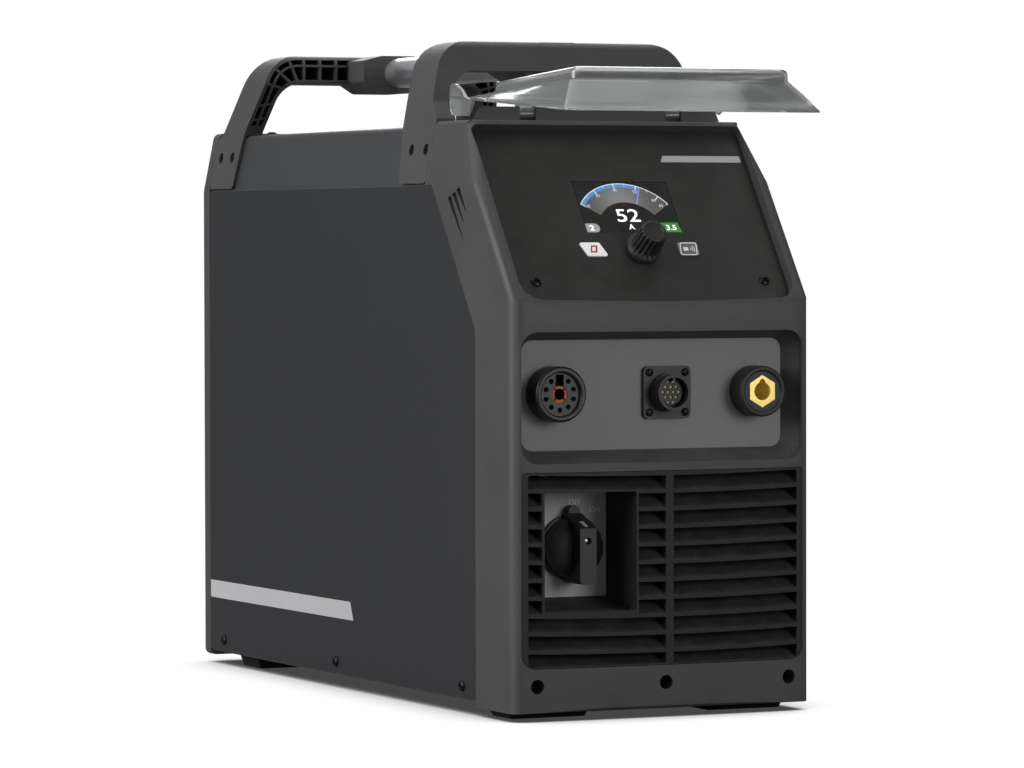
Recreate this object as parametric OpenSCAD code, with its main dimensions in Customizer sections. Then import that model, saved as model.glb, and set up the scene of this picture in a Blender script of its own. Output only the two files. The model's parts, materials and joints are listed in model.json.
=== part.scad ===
// Plasma cutter power unit: an inverter in a sheet-metal cabinet with moulded front and rear bezels,
// two handle arches joined by a carrying tube, and a clear cover over the sloping control panel.
// Frame: +X to the right seen from the front, +Y to the rear, +Z up. The origin lies on the floor,
// under the middle of the overall length with the cover open. Lengths are in millimetres.

/* [Cabinet] */
// Overall width across the side panels
body_w = 240; // [230:1:270]
// Length from the front corners to the rear face
body_l = 600; // [560:5:700]
// Height of the fold line where the side panels end and the shoulders begin
fold_z = 383.5; // [378:0.5:392]
// Height of the flat top of the cover
deck_z = 427.5; // [424:0.5:436]
// How far each shoulder leans in between the fold line and the deck
shoulder_in = 9; // [6:0.5:12]
// Thickness of the sheet metal
sheet_t = 1.5; // [1:0.1:2]
// Height of the front feet, which is also the bottom of the bezels
foot_h = 6; // [4:0.5:10]
// Depth of the rear bezel
rear_bezel_d = 16; // [14:0.5:24]

/* [Front bezel] */
// Wall of the bezel mouldings
bezel_wall = 3.5; // [3:0.1:4.5]
// Width of the bezel's flank, measured square to its front outline
band_w = 63.5; // [58:0.5:70]
// Lean of the control face from the vertical, in degrees
slant = 36; // [33:0.5:39]
// Distance from the front corners to the top edge of the control face
rim_top_d = 95; // [90:0.5:100]
// Height of the bezel's top edge above the deck
rim_step = 3; // [2:0.5:5]
// Distance from the front corners to the bezel's rear edge on the shoulders
bezel_back_d = 152; // [150:0.5:156]
// Radius of the bend below the control face
bend_r = 40; // [20:1:60]
// How far the middle of the front face stands forward of its corners
crown = 4; // [2:0.5:7]
// Radius of the upright front corners
corner_r = 10; // [6:0.5:14]
// Radius along the edges of the sloping face
slope_edge_r = 7; // [4:0.5:9]
// Gap at the visible seams between bezel and sheet metal
seam_gap = 0.5; // [0.3:0.1:0.9]

/* [Control panel] */
// Width of the recess that the control panel lies in
panel_w = 220; // [216:1:222]
// Start of the recess below the top edge of the control face
panel_s0 = 4; // [3:0.5:8]
// End of the recess below the top edge of the control face
panel_s1 = 160; // [157:0.5:162]
// Depth of the panel's surface below the rim
panel_in = 8; // [6:0.5:9]
// Thickness of the control panel
panel_t = 3; // [2:0.5:4]
// Width of the display
lcd_w = 77; // [70:1:84]
// Height of the display
lcd_h = 45.6; // [40:0.2:48]
// Centre of the display below the top edge of the control face
lcd_s = 72.6; // [70:0.2:76]
// Diameter of the setting knob at its base
dial_d = 26; // [22:0.5:28]
// Height of the setting knob above the panel
dial_h = 26; // [20:0.5:28]
// Place of the setting knob below the top edge of the control face
dial_s = 113; // [111:0.2:118]
// Number of flutes round the setting knob
dial_flutes = 18; // [12:1:22]
// Diameter of the setting knob's shaft
dial_shaft_d = 6; // [5:0.5:7]
// Distance of each push button from the middle of the panel
button_x = 38.2; // [34:0.2:44]
// Place of the push buttons below the top edge of the control face
button_s = 111; // [108:0.2:113]
// Width of the push buttons
button_w = 16.4; // [14:0.2:18]
// Height of the push buttons
button_h = 12.2; // [10:0.2:14]
// How far the push buttons stand above the panel
button_out = 0.8; // [0.7:0.1:1.2]

/* [Clear cover] */
// Half the width of the clear cover
lid_hw = 102; // [98:0.5:104]
// Reach of the cover's front edge from its pivot
lid_reach = 163; // [160:0.5:168]
// Overhang of the cover behind its pivot
lid_tail = 10; // [8:0.5:12]
// Height of the cover's bubble at its free end
lid_rise = 30; // [27:0.5:33]
// Height of the cover's rim plane above its pivot
lid_lift = 9.5; // [9:0.1:11]
// Wall of the cover
lid_wall = 2.2; // [1.8:0.1:2.6]
// Drop of the open cover towards its free edge, in degrees
lid_tilt = 4; // [0:0.5:8]
// Distance of the cover's pivot behind the top edge of the control face
pivot_back = 13; // [12:0.5:15]
// Height of the cover's pivot above the bezel's top
pivot_up = 5; // [5:0.1:6]
// Diameter of the cover's hinge pins
hinge_pin_d = 4; // [3:0.5:4.5]
// Distance of each hinge lug from the middle
hinge_x = 59.5; // [50:0.5:70]

/* [Connectors] */
// Half the width of the connector recess at the front face
recess_hw = 113; // [111:0.5:113]
// Bottom of the connector recess at the front face
recess_z0 = 183.5; // [182:0.5:186]
// Top of the connector recess at the front face
recess_z1 = 277.5; // [274:0.5:280]
// Depth of the connector recess from the front corners
recess_d = 18.2; // [16:0.2:22]
// How much narrower the recess gets on each side towards its back
recess_draft = 9; // [6:0.5:10]
// Thickness of the connector plate
plate_t = 2.5; // [2:0.1:3]
// Distance of the torch and earth sockets from the middle
socket_x = 81; // [78:0.5:83]
// Height of the sockets
socket_z = 233; // [231:0.5:236]
// Diameter of the torch socket
torch_d = 40; // [38:0.5:42]
// Diameter of the torch socket's contact bore
torch_bore_d = 8; // [6:0.5:9]
// Number of control contacts round the torch socket
torch_pin_count = 9; // [7:1:9]
// Diameter of the earth socket
earth_d = 37; // [35:0.5:39]
// Diameter of the earth socket's bore
earth_bore_d = 13; // [12:0.5:13.5]
// Width of the earth contact across its flats
earth_hex = 20.6; // [19:0.2:22]
// Distance of the signal socket from the middle
signal_x = 10.5; // [6:0.5:14]
// Width of the signal socket's square flange
signal_w = 38; // [36:0.5:40]
// Diameter of the signal socket's shell
signal_d = 26; // [24:0.5:27]

/* [Grille] */
// Half the width of the grille insert
grille_hw = 113; // [110:0.5:113]
// Bottom of the grille insert
grille_z0 = 37.5; // [36:0.5:40]
// Height of the grille insert
grille_h = 140; // [138:0.5:141]
// Number of rows of louvres
louvre_rows = 11; // [11:1:11]
// Thickness of the louvre blades at the face
blade_t = 2.6; // [2:0.1:3.2]
// Slope of the louvre blades, in degrees
blade_slope = 30; // [20:1:36]
// Depth of the grille insert
grille_depth = 14; // [12:0.5:17]
// Middle of the rib between the left and right louvres
mid_rib_x = 3; // [0:0.5:4]
// Width of the rib between the left and right louvres
mid_rib_w = 6; // [4:0.5:8]
// Distance from the middle to the right side of the switch window
window_x1 = 23.6; // [22:0.2:26]
// Distance from the middle to the left side of the switch window
window_x0 = 95.4; // [92:0.2:97]
// Width of the frame round the switch window
window_rim = 1.8; // [1.6:0.1:2.2]

/* [Mains switch] */
// Depth of the switch well from the front corners
well_d = 47; // [40:0.5:50]
// Distance of the switch axis to the left of the middle
switch_x = 53; // [51:0.5:56]
// Height of the switch axis
switch_z = 121; // [119:0.5:123]
// Diameter of the switch knob's base
switch_d = 48; // [44:0.5:50]
// Length of the switch knob's grip
grip_l = 51; // [46:0.5:54]
// Thickness of the switch knob's grip
grip_w = 13; // [11:0.5:15]
// Height of the whole switch knob
switch_h = 32; // [28:0.5:34]
// Width across the flats of the switch's square shaft
shaft_w = 6; // [5:0.5:7]

/* [Handle] */
// Height of the top of the arches
arch_top_z = 491; // [486:0.5:500]
// Thickness of the arches' top bar
arch_bar = 22; // [20:0.5:24]
// Width of an arch leg seen from the front
arch_leg = 15.5; // [14:0.5:18]
// Radius of the arches' upper outer corners
arch_r = 28; // [24:1:32]
// Wall of the arch mouldings behind their pockets
arch_wall = 3; // [2.5:0.1:4]
// Thickness of the ribs in the arches' pockets
rib_t = 1.8; // [1.5:0.1:2.4]
// Diameter of the carrying tube
tube_d = 24; // [22:0.5:26]
// Height of the carrying tube's axis
tube_z = 477; // [475.5:0.5:478]
// Wall of the carrying tube
tube_wall = 2; // [1.5:0.1:3]

/* [Rear side] */
// Outer size of the fan frame
fan_w = 150; // [140:1:160]
// Diameter of the fan's duct
fan_d = 140; // [130:1:142]
// Depth of the fan frame
fan_t = 38; // [32:1:45]
// Height of the fan's axis
fan_z = 120; // [110:1:130]
// Number of fan blades
fan_blades = 7; // [5:1:9]
// Diameter of the fan's shaft
fan_shaft_d = 6; // [5:0.5:8]
// Distance of the cable gland and the gas inlet from the middle
inlet_x = 62; // [56:1:70]
// Height of the cable gland and the gas inlet
inlet_z = 318; // [300:1:330]
// Diameter of the cable gland's bore
gland_bore_d = 17; // [14:0.5:18]

/* [Hidden] */
$fn = 48;

hw = body_w / 2;
rim_top_z = deck_z + rim_step;
lean = shoulder_in / (deck_z - fold_z);
lean_angle = atan(lean);
// Places along Y are distances d behind the front corners; the open cover's overhang sets the origin
pivot_d = rim_top_d + pivot_back;
pivot_z = rim_top_z + pivot_up;
lid_over = lid_reach * cos(lid_tilt) + lid_lift * sin(lid_tilt) - pivot_d;
front_y = -(body_l - lid_over) / 2;
rear_seam_d = body_l - rear_bezel_d;
panel_edge_d = rear_seam_d - seam_gap;
inner_hw = hw - sheet_t - 0.3;
tray_z = foot_h + bezel_wall + 0.3;
floor_z = tray_z + sheet_t;
cover_step = 3;
fit = 0.3;
black = [0.13, 0.13, 0.13];
grey = [0.3, 0.3, 0.3];
steel = [0.72, 0.72, 0.74];

// ---------------------------------------------------------------- outlines

function unit(v) = v / norm(v);
function xy(p) = [p.x, p.y];
function side(z) = hw - max(0, z - fold_z) * lean;
function meet(p, u, q, w) = p + u * cross(q - p, w) / cross(u, w);

// Points of the arc of radius r that rounds corner b between a and c
function fillet(a, b, c, r, n) =
    let (u = unit(a - b), w = unit(c - b), half = acos(u * w) / 2, o = b + unit(u + w) * r / sin(half),
        p = b + u * r / tan(half) - o, q = b + w * r / tan(half) - o,
        raw = atan2(q.y, q.x) - atan2(p.y, p.x), turn = raw > 180 ? raw - 360 : raw < -180 ? raw + 360 : raw)
    [for (i = [0:n]) let (g = atan2(p.y, p.x) + turn * i / n) o + r * [cos(g), sin(g)]];

// A closed outline from corners [x, y, radius], where a radius of 0 keeps the corner
function rounded(c, n = 6) = [for (k = [0:len(c) - 1])
    let (a = c[(k + len(c) - 1) % len(c)], b = c[k], d = c[(k + 1) % len(c)])
    each b[2] > 0 ? fillet(xy(a), xy(b), xy(d), b[2], n) : [xy(b)]];

// The same corners moved inwards by i; the corners run anticlockwise
function inset(c, i) = [for (k = [0:len(c) - 1])
    let (a = xy(c[(k + len(c) - 1) % len(c)]), b = xy(c[k]), d = xy(c[(k + 1) % len(c)]), u = unit(b - a),
        w = unit(d - b), p = meet(b + i * [-u.y, u.x], u, b + i * [-w.y, w.x], w), r = c[k][2])
    [p.x, p.y, r == 0 ? 0 : cross(u, w) > 0 ? max(r - i, 0) : max(r + i, 0)]];

function box_corners(x0, x1, z0, z1, r) = [[x0, z0, r], [x1, z0, r], [x1, z1, r], [x0, z1, r]];

// Side outline of the front bezel in (d, z)
slope_run = tan(slant);
bend_z = rim_top_z - (rim_top_d + crown) / slope_run;
band_run = band_w / cos(slant);
seam_bend_z = rim_top_z - (rim_top_d + band_run - band_w) / slope_run;
function seam_d(z) = rim_top_d + band_run - (rim_top_z - z) * slope_run;
seam_bend_r = 14;
bezel_side = [[-crown, foot_h, 5], [band_w, foot_h, 0], [band_w, seam_bend_z, seam_bend_r],
    [seam_d(fold_z), fold_z, 0], [bezel_back_d, fold_z, 0], [bezel_back_d, rim_top_z, 0],
    [rim_top_d, rim_top_z, 4], [-crown, bend_z, bend_r]];

// Plan outline with the crowned front and its rounded corners, in (x, d)
crown_r = (hw * hw + crown * crown) / (2 * crown);
crown_a = asin(hw / crown_r);
crown_steps = 8;
plan_front = [for (i = [0:crown_steps])
    let (g = crown_a * (2 * i / crown_steps - 1), edge = i == 0 || i == crown_steps)
    [crown_r * sin(g), crown_r - crown - crown_r * cos(g), edge ? corner_r : 0]];
function plan(depth) = concat(plan_front, [[hw, depth, 0], [-hw, depth, 0]]);

// Outline seen from the front, leaning in above the fold line, in (x, z)
function front_outline(z0, z1, r) = [[-hw, z0, 0], [hw, z0, 0], [hw, fold_z, 0], [side(z1), z1, r],
    [-side(z1), z1, r], [-hw, fold_z, 0]];

// Extrudes a (d, z) outline across the machine, between x0 and x1
module across(x0, x1) {
    translate([x0, front_y, 0]) rotate([90, 0, 90]) linear_extrude(x1 - x0) children();
}

// Extrudes an (x, z) outline from depth d0 to depth d1
module deep(d0, d1) {
    translate([0, front_y + d1, 0]) rotate([90, 0, 0]) linear_extrude(d1 - d0) children();
}

// Extrudes an (x, d) outline from height z0 to height z1
module upright(z0, z1) {
    translate([0, front_y, z0]) linear_extrude(z1 - z0) children();
}

module block(x0, x1, d0, d1, z0, z1) {
    translate([x0, front_y + d0, z0]) cube([x1 - x0, d1 - d0, z1 - z0]);
}

// A cylinder along Y from depth d0 to depth d1
module rod(x, z, d0, d1, r, fn = 48) {
    translate([x, front_y + d1, z]) rotate([90, 0, 0]) cylinder(r = r, h = d1 - d0, $fn = fn);
}

// A solid turned round a Y axis, its outline given as (radius, depth behind the front corners)
module turned_y(x, z, fn = 64) {
    translate([x, front_y, z]) rotate([-90, 0, 0]) rotate_extrude($fn = fn) children();
}

// The frame of the sloping face: X across, Y up the slope, Z outwards; s runs down from the top edge
module on_slope(x = 0, s = 0, out = 0) {
    translate([0, front_y + rim_top_d, rim_top_z]) rotate([90 - slant, 0, 0]) translate([x, -s, out])
        children();
}

// Extrudes an (x, -s) outline on the sloping face, from out0 to out1
module slope_prism(out0, out1) {
    on_slope(0, 0, out0) linear_extrude(out1 - out0) children();
}

// The frame of the open cover: origin at its pivot, -Y towards its free edge
module on_lid() {
    translate([0, front_y + pivot_d, pivot_z]) rotate([lid_tilt, 0, 0]) children();
}

// The waste outside a fillet of radius r along the edge from a to b between faces with normals n and m
module edge_waste(a, b, n, m, r) {
    e = unit(b - a);
    v = cross(e, n);
    m2 = [m * n, m * v];
    o = -r * ([1, 0] + m2) / (1 + m2.x);
    turn = atan2(m2.y, m2.x);
    past = 2;
    arc = [for (i = [0:6]) o + r * [cos(turn * i / 6), sin(turn * i / 6)]];
    multmatrix([[n.x, v.x, e.x, a.x], [n.y, v.y, e.y, a.y], [n.z, v.z, e.z, a.z], [0, 0, 0, 1]])
        linear_extrude(norm(b - a)) polygon(concat(arc, [o + (r + past) * m2, past * ([1, 0] + m2),
            o + (r + past) * [1, 0]]));
}

module both_sides() {
    children();
    mirror([1, 0, 0]) children();
}

// ---------------------------------------------------------------- front bezel

// The solid that the bezel is cut from: its side, plan and front outlines crossed, with rounded slope edges
module bezel_form() {
    slope_n = [0, -cos(slant), sin(slant)];
    lean_n = [cos(lean_angle), 0, sin(lean_angle)];
    low = [hw, front_y - 12, bend_z - (12 - crown) / slope_run];
    fold = [hw, front_y + rim_top_d - (rim_top_z - fold_z) * slope_run, fold_z];
    high = [side(rim_top_z), front_y + rim_top_d, rim_top_z];
    past = 4;
    difference() {
        intersection() {
            across(-hw, hw) polygon(rounded(bezel_side, 10));
            upright(0, rim_top_z + 5) polygon(rounded(plan(bezel_back_d + 5), 4));
            deep(-crown - 1, bezel_back_d + 1) polygon(rounded(front_outline(0, rim_top_z, 4)));
        }
        both_sides() {
            edge_waste(low, fold + past * unit(fold - low), slope_n, [1, 0, 0], slope_edge_r);
            edge_waste(fold - past * unit(high - fold), high, slope_n, lean_n, slope_edge_r);
        }
    }
}

// The hollow inside the bezel's wall, open to the rear and over the rear part of the underside
module bezel_cavity() {
    past = 40;
    side_in = inset(bezel_side, bezel_wall);
    intersection() {
        across(-hw, hw) polygon(rounded([side_in[0], [bezel_back_d + past, side_in[0].y, 0],
            [bezel_back_d + past, side_in[5].y, 0], side_in[6], side_in[7]], 6));
        upright(0, rim_top_z) polygon(rounded(inset(plan(bezel_back_d + past), bezel_wall), 3));
        deep(-crown, bezel_back_d + past / 2)
            polygon(rounded(inset(front_outline(0, rim_top_z, 4), bezel_wall), 3));
    }
}

recess_d0 = 6;
recess_up = recess_z1 - recess_draft * 0.7;
// The recess for the connectors: a drafted pocket with rounded corners
module recess_form() {
    hull() {
        deep(-crown - 6, recess_d0) rounded_box(recess_hw, recess_z0, recess_z1, 12);
        deep(recess_d, recess_d + 0.5) rounded_box(recess_hw - recess_draft, recess_z0 + recess_draft, recess_up, 8);
    }
}

// The block that the recess is sunk into, with a wall of t round it
module recess_block(t) {
    x1 = recess_hw + t;
    x2 = recess_hw - recess_draft + t;
    intersection() {
        across(-hw, hw) polygon([[-20, recess_z0 - t], [recess_d0, recess_z0 - t],
            [recess_d, recess_z0 + recess_draft - t], [recess_d, recess_up + t], [recess_d0, recess_z1 + t],
            [-20, recess_z1 + t]]);
        upright(recess_z0 - 5, recess_z1 + 5)
            polygon([[-x1, -20], [x1, -20], [x1, recess_d0], [x2, recess_d], [-x2, recess_d], [-x1, recess_d0]]);
    }
}

module rounded_box(x, z0, z1, r) {
    polygon(rounded(box_corners(-x, x, z0, z1, r), 4));
}

panel_r = 16;
panel_bow = 2.5;
// The panel recess on the sloping face, moved in by g, with a bowed lower edge
function panel_corners(g) = [[-panel_w / 2 + g, -panel_s1 + g, panel_r], [0, -panel_s1 - panel_bow + g, 0],
    [panel_w / 2 - g, -panel_s1 + g, panel_r], [panel_w / 2 - g, -panel_s0 - g, 5],
    [-panel_w / 2 + g, -panel_s0 - g, 5]];
ledge = 7;
ledge_t = 2.5;
panel_screw_x = 92;
panel_screw_s = 139.3;

// The opening behind the panel, cut off at its lower corners to leave room for the screw bosses
module panel_window() {
    x = panel_w / 2 - ledge;
    low = panel_s1 - ledge;
    cut = 26;
    polygon([[-x, -panel_s0 - ledge], [-x, -low + cut], [-x + cut, -low], [x - cut, -low], [x, -low + cut],
        [x, -panel_s0 - ledge]]);
}

gill_count = 3;
// Three gill vents in a flank: tapered slots that hang from a slanting line
module gills() {
    top_back = [111, 373.5];
    top_front = [88, 382.5];
    lengths = [48, 33, 27];
    step = (top_front - top_back) / gill_count;
    down = [-sin(slant - 1), -cos(slant - 1)];
    across(-hw - 1, hw + 1) for (k = [0:gill_count - 1])
        let (p = top_back + step * k, q = p + step * 0.72)
        polygon(rounded([[p.x, p.y, 1], [q.x + down.x * lengths[k] * 0.98, q.y + down.y * lengths[k], 0.5],
            [q.x, q.y, 1]], 3));
}

strip_screw_x = hw - 19;
strip_screw_z = 25;
module front_bezel() {
    seat = -panel_in - panel_t - fit;
    color(grey) difference() {
        bezel_form();
        // the hollow, less the seat of the panel, the connector recess and the screw bosses
        difference() {
            bezel_cavity();
            slope_prism(seat - ledge_t, 20) polygon(rounded(inset(panel_corners(0), -3), 3));
            recess_block(2.5);
            for (x = [-strip_screw_x, 0, strip_screw_x]) rod(x, strip_screw_z, -20, 13.5, 7.5);
            both_sides() on_slope(panel_screw_x, panel_screw_s, seat - 10) cylinder(r = 5, h = 11);
        }
        slope_prism(seat, 30) polygon(rounded(panel_corners(0)));
        slope_prism(-40, seat + 1) panel_window();
        both_sides() on_slope(panel_screw_x, panel_screw_s, -30) cylinder(r = 1.7, h = 30);
        recess_form();
        deep(-crown - 6, 30) polygon(rounded([[-grille_hw, grille_z0, 10], [grille_hw, grille_z0, 10],
            [grille_hw, grille_z0 + grille_h, 2], [-grille_hw, grille_z0 + grille_h, 2]]));
        for (x = [-strip_screw_x, 0, strip_screw_x]) {
            rod(x, strip_screw_z, -10, 11, 5.25);
            rod(x, strip_screw_z, 10, 15, 2.3);
        }
        gills();
    }
}

bezel_screw_d0 = 8;
module bezel_screws() {
    color(black) for (x = [-strip_screw_x, 0, strip_screw_x]) {
        rod(x, strip_screw_z, bezel_screw_d0, 11, 4.4);
        rod(x, strip_screw_z, 10.5, 22, 2);
        rod(x, strip_screw_z, body_l - 11, body_l - 8.5, 4.4);
        rod(x, strip_screw_z, rear_seam_d - 8, body_l - 10.5, 2);
    }
}

// ---------------------------------------------------------------- grille and mains switch

row_pitch = grille_h / louvre_rows;
function row_z(k) = grille_z0 + row_pitch * k;
long_rows = 3;
slot_side = 5;

module front_grille() {
    lip = 0.4;
    outline = inset([[-grille_hw, grille_z0, 10], [grille_hw, grille_z0, 10], [grille_hw, row_z(louvre_rows), 2],
        [-grille_hw, row_z(louvre_rows), 2]], lip);
    left = -grille_hw + slot_side;
    rib0 = mid_rib_x - mid_rib_w / 2;
    rib1 = mid_rib_x + mid_rib_w / 2;
    color(black) difference() {
        intersection() {
            deep(-crown - 2, grille_depth) polygon(rounded(outline));
            upright(0, row_z(louvre_rows) + 5) polygon(rounded(plan(grille_depth + 5)));
        }
        intersection() {
            deep(-crown - 4, grille_depth + 1) polygon(rounded(box_corners(left, -left, row_z(0) + blade_t / 2,
                row_z(louvre_rows) - blade_t / 2, 3), 3));
            for (k = [0:louvre_rows - 1]) louvre(k, left, -left, rib0, rib1);
        }
        deep(-crown - 4, grille_depth + 1) square_window(0);
    }
}

// The space between two blades of row k, as a sloping channel right through the insert
module louvre(k, left, right, rib0, rib1) {
    rise = tan(blade_slope);
    z0 = row_z(k) + blade_t / 2;
    z1 = row_z(k + 1) - blade_t / 2;
    d0 = -crown - 4;
    d1 = grille_depth + 2;
    channel = [[d0, z0 + rise * d0], [d1, z0 + rise * d1], [d1, z1 + rise * d1], [d0, z1 + rise * d0]];
    beside = k >= long_rows && k < louvre_rows - 1;
    across(rib1, right) polygon(channel);
    if (beside) {
        across(left, -window_x0 - window_rim) polygon(channel);
        across(-window_x1 + window_rim, rib0) polygon(channel);
    } else {
        across(left, rib0) polygon(channel);
    }
}

window_z0 = row_z(long_rows) + blade_t / 2 + 0.6;
window_z1 = row_z(louvre_rows - 1) - blade_t / 2 - 0.6;
// The switch window, grown by g
module square_window(g) {
    polygon(rounded(box_corners(-window_x0 - g, -window_x1 + g, window_z0 - g, window_z1 + g, 1.5 + g), 3));
}

well_wall = 2;
well_d0 = grille_depth + 0.2;
well_rise = 8;
// The well behind the switch window: four walls, the lower one sloping up inwards, and a rim against the grille
module switch_well() {
    color(black) difference() {
        union() {
            deep(well_d0, well_d + 0.01) square_window(well_wall);
            deep(well_d0, well_d0 + 3) square_window(well_wall + 2);
        }
        intersection() {
            deep(well_d0 - 1, well_d + 1) square_window(0);
            across(-window_x0 - 1, -window_x1 + 1) polygon([[well_d0 - 2, window_z0 - 1],
                [well_d + 2, window_z0 + well_rise], [well_d + 2, window_z1 + 1], [well_d0 - 2, window_z1 + 1]]);
        }
    }
}

switch_plate_t = 2;
module switch_plate() {
    color([0.35, 0.35, 0.35]) difference() {
        deep(well_d + 0.1, well_d + 0.1 + switch_plate_t)
            square_window(well_wall - 0.5);
        rod(-switch_x, switch_z, well_d - 1, well_d + 5, 11);
    }
}

switch_front = well_d - switch_h;
grip_slope_z = 15;
grip_screw_z = 6;
grip_top_z = 21.5;
lock_lug_z = 26;
lock_lug_r = 4.5;
// Knob: a domed base with a lug for a lock, and a bar grip whose upper end slopes, in the off position
module switch_knob() {
    base_r = switch_d / 2;
    color(black) difference() {
        union() {
            turned_y(-switch_x, switch_z) polygon([[0, switch_front + 12], [base_r - 9, switch_front + 15],
                [base_r - 3, switch_front + 19], [base_r - 1.5, switch_front + 25], [base_r - 1.5, well_d - 4],
                [base_r, well_d - 4], [base_r, well_d - 0.5], [0, well_d - 0.5]]);
            rod(-switch_x, switch_z + lock_lug_z, well_d - 9, well_d - 0.5, lock_lug_r, 40);
            intersection() {
                translate([-switch_x, 0, switch_z]) deep(switch_front, well_d - 4)
                    polygon(rounded(box_corners(-grip_w / 2, grip_w / 2, -grip_l / 2, grip_l / 2, 3), 4));
                translate([0, 0, switch_z]) across(-switch_x - grip_w, -switch_x + grip_w)
                    polygon([[switch_front, -grip_l / 2], [well_d, -grip_l / 2], [well_d, grip_l / 2],
                        [switch_front + 24, grip_l / 2], [switch_front + 17, grip_top_z],
                        [switch_front, grip_slope_z]]);
            }
        }
        rod(-switch_x, switch_z + grip_screw_z, switch_front - 1, switch_front + 5, 2.6);
        translate([-switch_x, 0, switch_z]) deep(well_d - 12, well_d) square(shaft_w + 0.1, center = true);
    }
}

module switch_shaft() {
    color(steel) {
        translate([-switch_x, 0, switch_z]) deep(well_d - 11.8, well_d - 0.2) square(shaft_w, center = true);
        rod(-switch_x, switch_z, well_d - 0.4, well_d + 30, 5);
    }
}

switch_body_d0 = well_d + 0.1 + switch_plate_t + 0.1;
module switch_body() {
    color([0.2, 0.2, 0.22]) difference() {
        union() {
            translate([-switch_x, 0, switch_z]) deep(switch_body_d0, switch_body_d0 + 42)
                polygon(rounded(box_corners(-28, 28, -28, 28, 4), 3));
            for (z = [-1, 1]) for (x = [-18, -6, 6, 18])
                block(x - switch_x - 3.5, x - switch_x + 3.5, switch_body_d0 + 8, switch_body_d0 + 34,
                    switch_z + z * 31 - 4, switch_z + z * 31 + 4);
        }
        rod(-switch_x, switch_z, switch_body_d0 - 1, well_d + 31, 5.05);
    }
}

// ---------------------------------------------------------------- connectors

module connector_plate() {
    x = recess_hw - recess_draft + 2;
    color([0.36, 0.36, 0.36]) difference() {
        deep(recess_d, recess_d + plate_t) rounded_box(x, recess_z0 + recess_draft - 2,
            recess_up + 2, 6);
        rod(-socket_x, socket_z, recess_d - 1, recess_d + plate_t + 1, torch_neck_r + 0.2);
        rod(socket_x, socket_z, recess_d - 1, recess_d + plate_t + 1, earth_neck_r + 0.2);
        rod(signal_x, socket_z, recess_d - 1, recess_d + plate_t + 1, signal_neck_r + 0.2);
    }
}

torch_neck_r = torch_d / 2 - 5;
torch_ring_r = 11.4;
torch_tail_d = recess_d + 28;
contact_r = torch_bore_d / 2 + 2;
// Torch socket: a thick collar with a sunk face, a key slot and a ring of control contacts
module torch_socket() {
    r = torch_d / 2;
    color(black) difference() {
        turned_y(-socket_x, socket_z) polygon([[contact_r + 0.05, 3.5], [r - 4.5, 3.5], [r - 4.5, 1], [r - 3.5, 0],
            [r - 1.5, 0], [r, 1.5], [r, recess_d], [torch_neck_r, recess_d], [torch_neck_r, torch_tail_d],
            [contact_r + 0.05, torch_tail_d]]);
        translate([-socket_x, 0, socket_z]) deep(-1, 12) translate([-3, contact_r - 1])
            square([6, r - 5 - contact_r]);
        torch_ring() rod(-socket_x, socket_z + torch_ring_r, 2, torch_tail_d + 1, 1.75, 24);
    }
}

module torch_ring() {
    for (k = [0:torch_pin_count - 1]) let (g = 36 + k * 288 / (torch_pin_count - 1))
        translate([-socket_x, 0, socket_z]) rotate([0, g, 0]) translate([socket_x, 0, -socket_z]) children();
}

module torch_control_contacts() {
    color(steel) torch_ring() difference() {
        rod(-socket_x, socket_z + torch_ring_r, 6, torch_tail_d + 4, 1.7, 24);
        rod(-socket_x, socket_z + torch_ring_r, 5, 14, 1, 24);
    }
}

module torch_contact() {
    color([0.72, 0.4, 0.25]) difference() {
        rod(-socket_x, socket_z, 4, torch_tail_d + 8, contact_r);
        rod(-socket_x, socket_z, 3, torch_tail_d, torch_bore_d / 2);
        for (g = [45, 135]) translate([-socket_x, 0, socket_z]) rotate([0, g, 0]) deep(3, 12)
            square([1, 3 * contact_r], center = true);
    }
}

// A hexagonal nut behind the connector plate
module plate_nut(x, z, hole_r, flats, d0, t) {
    difference() {
        translate([x, 0, z]) deep(d0, d0 + t) circle(r = flats / sqrt(3), $fn = 6);
        rod(x, z, d0 - 1, d0 + t + 1, hole_r);
    }
}

nut_d0 = recess_d + plate_t;
module torch_nut() {
    color(steel) plate_nut(-socket_x, socket_z, torch_neck_r + 0.05, torch_d - 1, nut_d0, 6);
}

signal_neck_r = signal_d / 2 - 2;
signal_face_d = 9;
signal_screw_x = signal_w / 2 - 4.6;
function signal_pins() = [for (row = [-2:2]) let (n = [2, 3, 4, 3, 2][row + 2])
    for (k = [0:n - 1]) [(k - (n - 1) / 2) * 4.2, row * 3.7]];

module signal_socket() {
    color(black) difference() {
        union() {
            translate([signal_x, 0, socket_z]) deep(recess_d - 3, recess_d)
                polygon(rounded(box_corners(-signal_w / 2, signal_w / 2, -signal_w / 2, signal_w / 2, 4), 4));
            rod(signal_x, socket_z, 3, recess_d, signal_d / 2);
            rod(signal_x, socket_z, 11, 14, signal_d / 2 + 1);
            rod(signal_x, socket_z, recess_d - 1, recess_d + 16, signal_neck_r);
        }
        difference() {
            rod(signal_x, socket_z, 2, recess_d - 4, signal_d / 2 - 2);
            rod(signal_x, socket_z, signal_face_d, recess_d, signal_d / 2 - 4);
            translate([signal_x, 0, socket_z]) deep(4, recess_d) translate([-1, signal_d / 2 - 5]) square([2, 5]);
        }
        for (p = signal_pins()) rod(signal_x + p.x, socket_z + p.y, 2, recess_d + 17, 1.25, 16);
        for (x = [-1, 1]) for (z = [-1, 1])
            rod(signal_x + x * signal_screw_x, socket_z + z * signal_screw_x, recess_d - 4, recess_d + 1, 1.7, 24);
    }
}

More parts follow.
